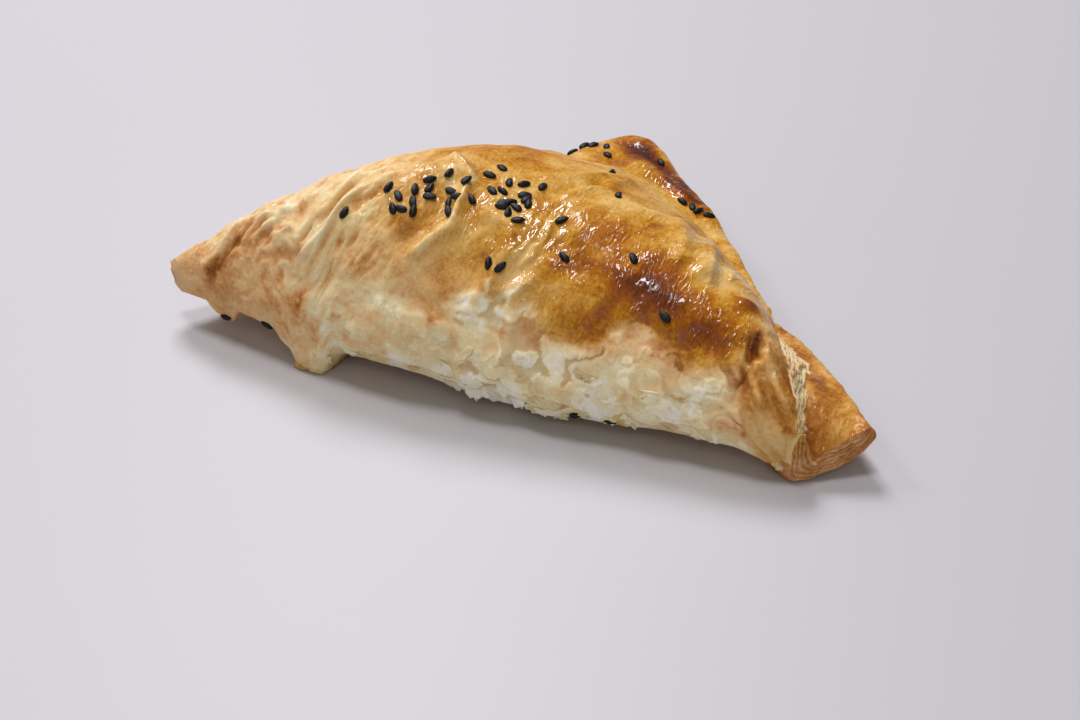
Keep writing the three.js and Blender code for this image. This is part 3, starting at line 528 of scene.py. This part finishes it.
def linear(colour):
    """An sRGB hex colour as linear red, green, blue and alpha."""
    shares = [int(colour[i:i + 2], 16) / 255 for i in (1, 3, 5)]
    return [v / 12.92 if v <= 0.04045 else ((v + 0.055) / 1.055) ** 2.4 for v in shares] + [1]


def add_node(kind, settings=None, links=None, stops=None):
    """Adds a shader node to the tree at hand, with its settings, its links and its colour
    stops. A link comes from a node, whose first output it then takes, or from one output."""
    made = tree.nodes.new("ShaderNode" + kind)
    for name, value in (settings or {}).items():
        if isinstance(name, str) and hasattr(made, name):
            setattr(made, name, value)
        else:
            made.inputs[name].default_value = value
    for name, source in (links or {}).items():
        output = source.outputs[0] if hasattr(source, "outputs") else source
        tree.links.new(output, made.inputs[name])
    for i, (place, colour) in enumerate(stops or []):
        stop = made.color_ramp.elements[i] if i < 2 else made.color_ramp.elements.new(place)
        stop.position, stop.color = place, linear(colour)
    return made


def maths(operation, *terms):
    """Adds a Math node. Its terms are numbers, nodes or outputs."""
    numbers = {i: term for i, term in enumerate(terms) if isinstance(term, (int, float))}
    links = {i: term for i, term in enumerate(terms) if i not in numbers}
    return add_node("Math", {"operation": operation, **numbers}, links)


def map_range(value, low, high, new_low, new_high):
    """Adds a node that takes value from between low and high to between the new ones."""
    ends = {"From Min": low, "From Max": high, "To Min": new_low, "To Max": new_high}
    return add_node("MapRange", ends, {"Value": value})


def per_mm(size):
    """Noise scale for lumps of that size in millimetres on coordinates in metres."""
    return 1000 / size


# Baked puff pastry: wheat starch and butter browned in the oven. Bare dough is pale cream, in
# flat flakes; dry skin bakes to tan, and egg wash to a glossy gold, amber and dark brown
# that crinkles up the slope.
baked_pastry = bpy.data.materials.new("baked puff pastry")
baked_pastry.use_nodes = True
tree = baked_pastry.node_tree
tree.nodes.clear()
place = add_node("TexCoord").outputs["Object"]
bake_and_painted_light, skin_cover, glaze_cover, shine_cover, layer_tone_and_shade, lengthwise, upward = [
    add_node("Attribute", {"attribute_name": name}).outputs["Fac"]
    for name in ("bake_and_painted_light", "skin", "glaze", "shine", "tone_and_shade", "lengthwise", "upward")]
crust_place = add_node("CombineXYZ", None, {0: lengthwise, 1: upward})

# Flakes: cells of the bare dough, 6.5 and 2.6 mm across, with ragged edges, each of its own
# tone and height.
ragged = add_node("TexNoise", {"Scale": per_mm(1.5), "Detail": 3}, {"Vector": place})
shift = add_node("VectorMath", {"operation": "SCALE", "Scale": 0.0022}, {0: ragged.outputs["Color"]})
torn_place = add_node("VectorMath", {"operation": "ADD"}, {0: place, 1: shift})
large_flake = add_node("TexVoronoi", {"Scale": per_mm(6.5)}, {"Vector": torn_place})
small_flake = add_node("TexVoronoi", {"Scale": per_mm(2.6)}, {"Vector": torn_place})
large_tone = add_node("SeparateXYZ", None, {0: large_flake.outputs["Color"]})
small_tone = add_node("SeparateXYZ", None, {0: small_flake.outputs["Color"]})
flake_sum = maths("MULTIPLY_ADD", small_tone, 0.6, large_tone)
flake = map_range(flake_sum, 0, 1.6, -1, 1)
bare = maths("SUBTRACT", 1, skin_cover)
bare_flake = maths("MULTIPLY", flake, bare)

# Crinkles of the dried egg wash run up the slope, some 1.3 mm apart. Specks and blotches vary
# the bake everywhere.
stretched = add_node("VectorMath", {"operation": "MULTIPLY", 1: (1.0, 0.38, 1.0)}, {0: crust_place})
crinkle = add_node(
    "TexNoise", {"noise_type": "RIDGED_MULTIFRACTAL", "Scale": 0.75, "Detail": 2, "Roughness": 0.5,
                 "Distortion": 0.9}, {"Vector": stretched})
crinkled = maths("MULTIPLY", crinkle, glaze_cover)
speckle = add_node("TexNoise", {"Scale": per_mm(0.8), "Detail": 4, "Roughness": 0.7}, {"Vector": place})
blotch = add_node("TexNoise", {"Scale": per_mm(4), "Detail": 4, "Roughness": 0.6}, {"Vector": place})
speckled = maths("MULTIPLY_ADD", speckle, 0.3, -0.15)
blotched = maths("MULTIPLY_ADD", blotch, 0.24, -0.12)
uneven = maths("ADD", speckled, blotched)
spotted = maths("MULTIPLY_ADD", bare_flake, 0.07, uneven)
# The tone lightens or darkens the colour: random tones of the layers and flakes, and painted shade in the
# gaps beside the torn layers and in the grooves of the cut end.
darker = maths("MULTIPLY_ADD", layer_tone_and_shade, -0.12, spotted)
# Crinkle hollows are deeper brown and their crests paler: partly egg wash pooled in the hollows, partly
# painted shade and painted highlight.
creased = maths("MULTIPLY_ADD", crinkled, -0.09, darker)
# The bake read here carries, on the crust, seam and cut end, painted highlights and painted shade as well as
# the depth of baking.
depth_here = maths("ADD", bake_and_painted_light, creased)
dry = add_node("ValToRGB", None, {"Fac": depth_here}, [
    (0.0, "#fbf6e6"), (1.0, "#2a170e"), (0.12, "#f3e4b8"), (0.24, "#ecd19e"), (0.34, "#eac28f"),
    (0.44, "#dca56f"), (0.56, "#bd8049"), (0.68, "#935828"), (0.82, "#5f3216")])
washed = add_node("ValToRGB", None, {"Fac": depth_here}, [
    (0.0, "#f8efd0"), (1.0, "#24120c"), (0.18, "#efd695"), (0.32, "#e6bf78"), (0.42, "#d8a959"),
    (0.50, "#c68b27"), (0.57, "#ac680b"), (0.64, "#924d04"), (0.71, "#7b3b09"), (0.79, "#622c0e"),
    (0.88, "#45200f")])
browned = add_node("Mix", {"data_type": "RGBA"}, {0: glaze_cover, 6: dry, 7: washed})
toned = map_range(layer_tone_and_shade, -1, 1, 0.78, 1.06)
colour = add_node("VectorMath", {"operation": "SCALE"}, {0: browned.outputs[2], "Scale": toned})

# Fine relief: pores everywhere, the flakes' steps where bare, crinkles up the slope where glazed.
pores = add_node("TexNoise", {"Scale": per_mm(0.6), "Detail": 3, "Roughness": 0.65}, {"Vector": place})
glossy = map_range(blotch, 0.4, 0.6, 0.12, 1)
coated = maths("MULTIPLY", shine_cover, glossy)
stepped = maths("MULTIPLY_ADD", bare_flake, 0.2, crinkled)
grain = maths("MULTIPLY_ADD", pores, 0.15, stepped)
bump = add_node("Bump", {"Strength": 0.45, "Distance": 0.0009}, {"Height": grain})
gloss_bump = add_node("Bump", {"Strength": 1.0, "Distance": 0.0006}, {"Height": crinkle})
roughness = map_range(skin_cover, 0, 1, 0.75, 0.5)
skin_shader = add_node(
    "BsdfPrincipled",
    {"IOR": 1.45, "Subsurface Weight": 0.12, "Subsurface Radius": (0.0022, 0.0012, 0.0006),
     "Subsurface Scale": 1.0, "Specular IOR Level": 0.08, "Coat Roughness": 0.05, "Coat IOR": 1.4},
    {"Base Color": colour, "Roughness": roughness, "Normal": bump,
     "Coat Weight": coated, "Coat Normal": gloss_bump})
add_node("OutputMaterial", None, {"Surface": skin_shader})
folded_crust.data.materials.append(baked_pastry)
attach(folded_crust, "root")
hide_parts("turnover")

# ---------------------------------------------------------------- the cut corner
# The lower half of the dough sheet, which runs on past the seam to the right: a browned tongue
# whose end was cut square, so that its thin layers show.

# Sizes in millimetres, [share of the way out to the cut end, value].
corner_front_x = [[0, 52], [0.5, 60], [0.85, 65.5], [1, 67.4]]
corner_front_y = [[0, 9], [0.5, 3], [0.85, -0.6], [1, -0.9]]
corner_outer_x = [[0, 46], [0.35, 57.5], [0.7, 71.3], [1, 80.7]]
corner_outer_y = [[0, 42], [0.35, 33.2], [0.7, 20], [1, 9.2]]
corner_front_top = [[0, 8], [0.8, 10.5], [1, 9.6]]
corner_lip_top = [[0, 8], [0.8, 10.5], [1, 11.4]]
corner_notch = [[0, 8.5], [0.6, 10], [0.8, 9.6], [1, 5]]
corner_middle_top = [[0, 10], [0.6, 13.6], [0.85, 11.2], [1, 7.5]]
corner_outer_top = [[0, 9], [0.5, 11], [1, 10.3]]
corner_outer_under = [[0, 2], [0.6, 3], [1, 6.2]]


def bare_corner(s, t):
    """The corner without its relief: 16 controls of [distance from the front edge, height]
    round a flat lens, 3 at the front edge, 5 the upper sheet's lip, 6 the notch behind it, 8
    the middle of the top and 11 the outer edge."""
    s, t = np.broadcast_arrays(np.asarray(s, float), np.asarray(t, float))
    front = np.stack([curve(corner_front_x, s), curve(corner_front_y, s)], -1)
    outer = np.stack([curve(corner_outer_x, s), curve(corner_outer_y, s)], -1)
    width = np.hypot(outer[..., 0] - front[..., 0], outer[..., 1] - front[..., 1])
    along = (outer - front) / width[..., None]
    front_top, middle_top = curve(corner_front_top, s), curve(corner_middle_top, s)
    outer_top, under = curve(corner_outer_top, s), curve(corner_outer_under, s)
    controls = section_controls(width, [
        (3.6, 0.1),
        (2, 0.1),
        (0.3, 0.6),
        (-0.2, 0.5 * front_top),
        (0.3, front_top - 0.4),
        (2, curve(corner_lip_top, s)),
        (4.2, curve(corner_notch, s)),
        (0.36 * width, 0.6 * curve(corner_notch, s) + 0.4 * middle_top),
        (0.58 * width, middle_top),
        (0.82 * width, 0.3 * middle_top + 0.7 * outer_top),
        (width - 0.9, outer_top - 0.3),
        (width, 0.5 * (outer_top + under)),
        (width - 0.9, under),
        (0.82 * width, 0.65 * under),
        (0.58 * width, 0.3 * under),
        (0.36 * width, 0.15 * under),
    ])
    w, z = np.moveaxis(closed_curve(controls, t), -1, 0)
    x, y = front[..., 0] + w * along[..., 0], front[..., 1] + w * along[..., 1]
    return np.stack([x, y, np.maximum(z, 0)], -1)


corner_along, corner_around, corner_controls = 150, 168, 16
corner_s = np.linspace(0, 1, corner_along)[:, None]
corner_t = front_step + corner_controls * np.arange(corner_around) / corner_around
corner_bare = bare_corner(corner_s, corner_t)
along_corner = np.gradient(corner_bare, axis=0)
round_corner = np.roll(corner_bare, -1, 1) - np.roll(corner_bare, 1, 1)
corner_normal = np.cross(along_corner, round_corner)
corner_normal /= np.linalg.norm(corner_normal, axis=-1, keepdims=True)
upper = ease(3, 4, corner_t) * (1 - ease(11, 12, corner_t))
corner_x, corner_y = corner_bare[..., 0], corner_bare[..., 1]
corner_relief = 0.35 * rough(corner_x / 5, corner_y / 5, 3)
corner_relief = corner_relief + 0.12 * rough(corner_x / 1.6, corner_y / 1.6 + 30, 2)
corner_points = corner_bare + (upper * corner_relief)[..., None] * corner_normal
corner_depth = 0.54 + 0.10 * rough(corner_x / 5, corner_y / 5 + 12, 4)
corner_depth = corner_depth - 0.2 * (1 - ease(4.6, 5.4, corner_t))

# The end is drawn flat in steps from its outline to its middle line, with a ridge a layer. The
# layers run down the lip and on along the underside, so each keeps its distance from both.
end_layer, end_ring_count = 0.7, 24  # mm a layer, rings from the outline to the middle line
pair = (-np.arange(corner_around)) % corner_around
end_ring = corner_points[-1]
middle_line = 0.5 * (end_ring + end_ring[pair])
end_steps = np.linspace(0, 1, end_ring_count + 1)[1:, None]
side = np.sign(end_ring[:, 2] - middle_line[:, 2])
end_rings = end_ring + end_steps[..., None] * (middle_line - end_ring)
run = np.hypot(end_rings[..., 0] - end_ring[0, 0], end_rings[..., 1] - end_ring[0, 1])
above_floor = end_rings[..., 2] - np.minimum(end_ring[:, 2], end_ring[pair, 2])
layer_place = run * above_floor / (np.hypot(run, above_floor) + 0.01) / end_layer
end_ridge = np.sin(2 * math.pi * (layer_place + 0.5 * rough(run / 3, above_floor / 3, 2)))
end_reach = 0.15 * end_ridge + 0.2 * rough(run, above_floor / 0.5, 3)
end_reach = end_reach * ease(0, 0.15, end_steps * abs(side))
end_outward = np.array([0.62, -0.78, 0])
end_rings = end_rings + end_reach[..., None] * end_outward
end_rings[-1] = 0.5 * (end_rings[-1] + end_rings[-1][pair])
# The cut end is paler on each layer's ridge and darker in the grooves: partly the layers' own tones, partly
# painted shade.
end_bake_and_shade = 0.48 - 0.035 * end_ridge + 0.07 * rough(run / 2, above_floor, 3)
end_glaze = 0.6 * ease(4, 8, end_rings[..., 2] - 0.4 * run)
cut_corner = closed_shell("cut_corner", corner_points, end_rings, {
    "bake_and_painted_light": (corner_depth, end_bake_and_shade), "skin": (upper, 0.4), "glaze": (0.7 * upper, end_glaze),
    "shine": (0.5 * upper, 0), "tone_and_shade": (0, 0.16 * end_ridge),
    "lengthwise": (corner_x, end_rings[..., 0]), "upward": (corner_y, end_rings[..., 2]),
}, np.minimum(np.arange(corner_around), pair))
cut_corner.data.materials.append(baked_pastry)
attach(cut_corner, "root")
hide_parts("turnover")

# ---------------------------------------------------------------- the torn flakes
# Thin flakes of the same baked dough that tore loose along the front's lower edge and round
# the tears, still held at one end by the layers under them.

# Runs of flakes from [x, girth] to [x, girth]: how many, length, width, how far they stand
# away from the crust in degrees, and depth of baking. Each varies in length and width by up to
# two fifths, and is turned from straight down by up to half of turn_spread.
flake_runs = [
    [-6, 1.2, 20, 1.0, 11, 1.9, 4.2, 14, 0.05], [-5, 5.0, 22, 5.0, 5, 2.4, 5.0, 3, 0.10],
    [20, 2.0, 50, 2.6, 6, 1.5, 3.6, 8, 0.14], [-37, 2.0, -9, 2.4, 5, 1.4, 3.0, 6, 0.18],
    [30.5, 2.0, 35, 2.4, 4, 1.3, 3.0, 14, 0.30], [-43.5, 0.4, -36, 0.4, 6, 1.5, 2.6, 6, 0.28],
    [-5, 13, 14, 9, 3, 2.4, 4.4, 2, 0.15], [22, 12, 50, 10, 2, 2.0, 4.4, 2, 0.17],
    [63.5, 1.0, 66, 0.6, 4, 0.9, 1.8, 6, 0.26],
]
flake_thickness, girth_spread, turn_spread = 0.3, 1.6, 110  # mm, mm, degrees
first_draw = 20117
draw_state = first_draw


def draw():
    """Next random number from 0 to 1, the same on every run: the last one's whole number times
    a factor, and what is left of it after division by a prime."""
    global draw_state
    factor, prime = 16807, 2147483647
    draw_state = draw_state * factor % prime
    return draw_state / prime


# Places looked through to find the crust point at an x and girth.
look_rows = 99
look_s, look_t = np.arange(4, 157) / 160, front_step + np.arange(look_rows) / 10
look_girth = girth_of(look_s, look_t)
look_x = bare_crust(look_s[:, None], look_t)[..., 0]


def crust_spots(x, girth):
    """The crust points nearest to each x and girth, with their outward, uphill and level
    directions."""
    apart = (look_x.ravel() - x[:, None]) ** 2 + (look_girth.ravel() - girth[:, None]) ** 2
    nearest = apart.argmin(1)
    at_s, at_t = look_s[nearest // look_rows], look_t[nearest % look_rows]
    up = outward(at_s, at_t)
    uphill = np.cross(up, [1, 0, 0])
    uphill /= np.linalg.norm(uphill, axis=1, keepdims=True)
    return crust(at_s, at_t, look_girth.ravel()[nearest]), up, uphill, np.cross(uphill, up)


def closed_pieces(name, rings, fields):
    """One object of many small closed pieces, from an array of pieces by rings by points by 3
    in mm: a piece's rings are joined in turn, and each end is closed by a fan to its middle. A
    field has one number a piece."""
    pieces, count, size = rings.shape[:3]
    a_piece = count * size + 2
    points = np.concatenate([rings.reshape(pieces, -1, 3), rings[:, [0, -1]].mean(2)], 1)
    ring = np.arange(count * size).reshape(count, size)
    ahead = np.roll(ring, -1, 1)
    quads = np.stack([ring[:-1], ahead[:-1], ahead[1:], ring[1:]], -1).reshape(-1, 4)
    tips = np.concatenate([np.stack([0 * ring[0] + a_piece - 2, ahead[0], ring[0]], -1),
                           np.stack([0 * ring[0] + a_piece - 1, ring[-1], ahead[-1]], -1)])
    offsets = a_piece * np.arange(pieces)[:, None, None]
    faces = (quads + offsets).reshape(-1, 4).tolist() + (tips + offsets).reshape(-1, 3).tolist()
    fields = {field: np.repeat(values, a_piece) for field, values in fields.items()}
    return new_piece(name, points.reshape(-1, 3), faces, fields)


flakes = []
for x0, g0, x1, g1, count, length, width, lean, baked in flake_runs:
    for k in range(count):
        share = (k + draw()) / count
        flakes.append([
            x0 + (x1 - x0) * share, g0 + (g1 - g0) * share + girth_spread * (draw() - 0.5) * (g0 > 1),
            turn_spread * (draw() - 0.5), length * (0.6 + 0.8 * draw()), width * (0.6 + 0.8 * draw()),
            lean * (0.3 + 1.4 * draw()), baked])
flake_x, flake_girth, flake_turn, flake_length, flake_width, flake_lean, flake_bake = np.array(flakes).T
flake_root, flake_up, flake_uphill, flake_level = crust_spots(flake_x, flake_girth)

# A flake is a thin strip from its root downwards: u runs along it and v round its edge. Its
# sides wander, its end is ragged, and it curls away from the crust with the square of u.
flake_along, flake_around = 8, 36
u, v = np.linspace(0, 1, flake_along)[:, None], 2 * math.pi * np.arange(flake_around) / flake_around
number = np.arange(len(flakes))[:, None, None]
turn = np.radians(flake_turn)[:, None]
down = flake_level * np.sin(turn) - flake_uphill * np.cos(turn)
aside = np.cross(flake_up, down)
ragged_end = 1 + 0.3 * rough(3 * np.cos(v) + 5.3 * number, 1.7 * number, 2) * u
narrowing = (1 - 0.25 * u**3) * (0.85 + 0.3 * lumps(3 * u + 3.1 * number, 0.9 * number))
run_out = flake_length[:, None, None] * (u * ragged_end - 0.12)
sway = 0.5 * lumps(3 * u + 2.3 * number, 4.1 * number) * u
spread = 0.5 * flake_width[:, None, None] * narrowing * np.cos(v) + sway
slope = np.tan(np.radians(flake_lean))[:, None, None]
thin = flake_thickness * np.sin(v) * (1 - 0.5 * u)
warp = 0.25 * lumps(3 * u + number, 2 * np.cos(v) + 7 * number) * u
lifted = slope * run_out * (0.5 + 0.5 * u) + thin + warp
flake_rings = (flake_root[:, None, None] + run_out[..., None] * down[:, None, None]
               + spread[..., None] * aside[:, None, None] + lifted[..., None] * flake_up[:, None, None])
above_table = 0.05  # mm, the lowest that a flake lies
flake_rings[..., 2] = np.maximum(flake_rings[..., 2], above_table)
torn_flakes = closed_pieces("torn_flakes", flake_rings, {
    "bake_and_painted_light": flake_bake + 0.05 * lumps(number.ravel() * 1.3, number.ravel() * 0.7),
    "skin": 0 * flake_bake, "glaze": 0.8 * ease(0.2, 0.28, flake_bake), "shine": 0 * flake_bake,
    "tone_and_shade": lumps(number.ravel() * 2.7, number.ravel() * 1.9),
    "lengthwise": flake_x, "upward": flake_girth,
})
torn_flakes.data.materials.append(baked_pastry)
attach(torn_flakes, "root")
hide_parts("turnover")

# ---------------------------------------------------------------- the seeds
# Nigella seeds scattered on the egg wash before baking: small black teardrops, blunt at one
# end, that sank a little into the crust.

# In mm, and seed_sunk as a share of the thickness. A seed lies up to half of seed_spread aside
# of its place on its run, and is turned up to half of seed_swing degrees further.
seed_length, seed_width, seed_thickness, seed_sunk = 3.0, 1.8, 1.5, 0.35
seed_spread, seed_swing = 0.4, 16
# Runs of seeds: how many, and for the first and the last [x, girth, degrees it is turned from
# pointing up the crust].
seed_runs = [
    (1, [-32.6, 32.2, 21]), (2, [-25.3, 40.2, 8], [-22.8, 38.8, -42]),
    (2, [-23, 35.8, -30], [-20.7, 36.4, -85]), (3, [-19.9, 40.9, -26], [-18, 36.5, -14]),
    (2, [-17.9, 45.1, 55], [-16.5, 40.6, 72]), (1, [-17.4, 42.5, 1]), (1, [-15.2, 48.3, 0]),
    (2, [-12.9, 43.8, 89], [-10.9, 45.5, 17]), (2, [-12.1, 40, -22], [-10.8, 41.1, 68]),
    (1, [-11.4, 38, -27]), (1, [-8.2, 42.9, -49]), (2, [-8.4, 51.3, 90], [-7.4, 55.1, -59]),
    (2, [-3.7, 51.3, -29], [-0.6, 52.2, 31]), (1, [3.1, 54.4, 12]),
    (2, [-4.9, 46.6, -60], [-3.6, 47.4, -54]), (3, [1.2, 48.6, 62], [3.4, 46.4, -22]),
    (3, [-1.9, 43.7, 77], [-0.2, 45.8, 66]), (2, [0.8, 42.3, -15], [1, 44.5, -72]), (1, [3, 40.8, 65]),
    (2, [0.7, 30.6, -19], [3.2, 30.5, 24]), (1, [11, 44, 43]), (1, [15.2, 35, -54]), (1, [28.3, 36.9, -34]),
    (1, [38.1, 24.9, -66]), (1, [16.7, 59, -19]), (1, [7.6, 82.7, -4]), (1, [-4.6, 110.3, -58]),
    (3, [-14.1, 114.1, 48], [-10.1, 115.7, 26]), (1, [-6.8, 114.7, -27]), (1, [7.4, 113.9, -56]),
    (4, [18.2, 99.3, -60], [25.5, 97, 61]), (1, [-64.2, 0.6, 90]), (1, [-51.6, 0.4, -60]),
    (1, [22.4, 0.6, 65]), (1, [30, 0.6, 90]),
]

draw_state = first_draw
seed_places = []
for count, *ends in seed_runs:
    for x, girth, turn in np.linspace(ends[0], ends[-1], count):
        turn = turn + seed_swing * (draw() - 0.5)
        seed_places.append([x + seed_spread * (draw() - 0.5), girth + seed_spread * (draw() - 0.5),
                            math.radians(turn)])
seed_x, seed_girth, seed_turn = np.array(seed_places).T
seed_middle, seed_up, uphill, level = crust_spots(seed_x, seed_girth)
seed_middle = seed_middle + (0.5 - seed_sunk) * seed_thickness * seed_up
seed_long = uphill * np.cos(seed_turn)[:, None] + level * np.sin(seed_turn)[:, None]
seed_wide = np.cross(seed_up, seed_long)

# Teardrop: an ellipse whose width follows a half circle, drawn in towards its pointed end, and
# dented by soft flats as a dry seed is.
seed_rows, seed_around, tip_angle = 12, 14, 0.1
seed_u = np.linspace(tip_angle, math.pi - tip_angle, seed_rows)[:, None]
seed_v = 2 * math.pi * np.arange(seed_around) / seed_around
belly = np.sin(seed_u) * (1 - 0.28 * (1 - np.cos(seed_u)) / 2)
seed_number = np.arange(len(seed_places))[:, None, None]
dents = 1 + 0.13 * np.cos(3 * seed_v + 1.9 * seed_number)
dents = dents + 0.07 * lumps(seed_u * 3 + 7 * seed_number, seed_v * 2)
seed_shape = [
    (-0.5 * seed_length * np.cos(seed_u) + 0 * seed_v) * np.ones_like(dents),
    0.5 * seed_width * belly * np.cos(seed_v) * dents,
    0.5 * seed_thickness * belly * np.sin(seed_v) * dents,
]
seed_rings = seed_middle[:, None, None] + sum(
    part[..., None] * axis[:, None, None] for part, axis in zip(seed_shape, (seed_long, seed_wide, seed_up)))
nigella_seeds = closed_pieces("nigella_seeds", seed_rings, {})

# Nigella seed coat: dry black skin, finely wrinkled, with a faint cool sheen.
seed_coat = bpy.data.materials.new("dry nigella seed coat")
seed_coat.use_nodes = True
tree = seed_coat.node_tree
tree.nodes.clear()
place = add_node("TexCoord").outputs["Object"]
wrinkle = add_node("TexNoise", {"Scale": per_mm(0.35), "Detail": 3}, {"Vector": place})
seed_black = add_node("ValToRGB", None, {"Fac": wrinkle}, [(0.3, "#08080a"), (0.75, "#151519")])
seed_bump = add_node("Bump", {"Strength": 0.5, "Distance": 0.0002}, {"Height": wrinkle})
coat_shader = add_node("BsdfPrincipled", {"Roughness": 0.45, "IOR": 1.45, "Specular IOR Level": 0.35},
                       {"Base Color": seed_black, "Normal": seed_bump})
add_node("OutputMaterial", None, {"Surface": coat_shader})
nigella_seeds.data.materials.append(seed_coat)
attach(nigella_seeds, "root")
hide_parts("turnover")

# ---------------------------------------------------------------- floor, light and camera
# A plain pale matt floor under soft lights: a window behind, high up, a ceiling lamp overhead,
# weaker ones from the front and the left, and an even room light.

floor_half, floor_height = 4, -0.0002  # metres
floor_mesh = bpy.data.meshes.new("floor")
floor_corners = [(floor_half * x, floor_half * y, floor_height)
                 for x, y in ((-1, -1), (1, -1), (1, 1), (-1, 1))]
floor_mesh.from_pydata(floor_corners, [], [(0, 1, 2, 3)])
floor = bpy.data.objects.new("floor", floor_mesh)
bpy.context.scene.collection.objects.link(floor)
floor_paint = bpy.data.materials.new("matt white laminate")
floor_paint.use_nodes = True
floor_shader = floor_paint.node_tree.nodes["Principled BSDF"]
floor_shader.inputs["Base Color"].default_value = linear("#b9b7ba")
floor_shader.inputs["Roughness"].default_value = 0.5
floor_mesh.materials.append(floor_paint)

bpy.context.scene.view_settings.view_transform = "Standard"
world = bpy.data.worlds.new("room")
bpy.context.scene.world = world
world.use_nodes = True
world.node_tree.nodes["Background"].inputs["Color"].default_value = linear("#f4f1ec")
world.node_tree.nodes["Background"].inputs["Strength"].default_value = 0.22

# Each light: metres to the camera's right, away from it, and up, then size and watts.
view_azimuth = math.radians(26.2)
for name, right, away, up, size, watts, tint in [
    ("window", -0.18, 0.80, 1.10, 0.4, 12.5, "#f8f8ff"),
    ("ceiling", -0.10, 0.05, 1.30, 0.26, 6.5, "#fbf9ff"),
    ("bounce", -0.40, -0.9, 0.55, 1.0, 2, "#fff6ea"),
    ("front lamp", 0.15, -0.80, 0.90, 0.08, 0.5, "#fffaf4"),
    ("left lamp", -0.62, 0.44, 0.74, 0.22, 2, "#fbf9ff"),
]:
    light = bpy.data.lights.new(name, "AREA")
    light.size, light.energy, light.color = size, watts, linear(tint)[:3]
    lamp = bpy.data.objects.new(name, light)
    bpy.context.scene.collection.objects.link(lamp)
    c, s = math.cos(view_azimuth), math.sin(view_azimuth)
    lamp.location = (right * c - away * s, right * s + away * c, up)
    lamp.rotation_euler = (-lamp.location).to_track_quat("-Z", "Y").to_euler()

camera = bpy.data.cameras.new("camera")
camera.sensor_width, camera.lens = 36, 54.72  # mm
viewpoint = bpy.data.objects.new("camera", camera)
bpy.context.scene.collection.objects.link(viewpoint)
viewpoint.location = (0.13265, -0.28612, 0.206)
viewpoint.rotation_euler = [math.radians(turn) for turn in (54.633, 1.926, 24.834)]
bpy.context.scene.camera = viewpoint
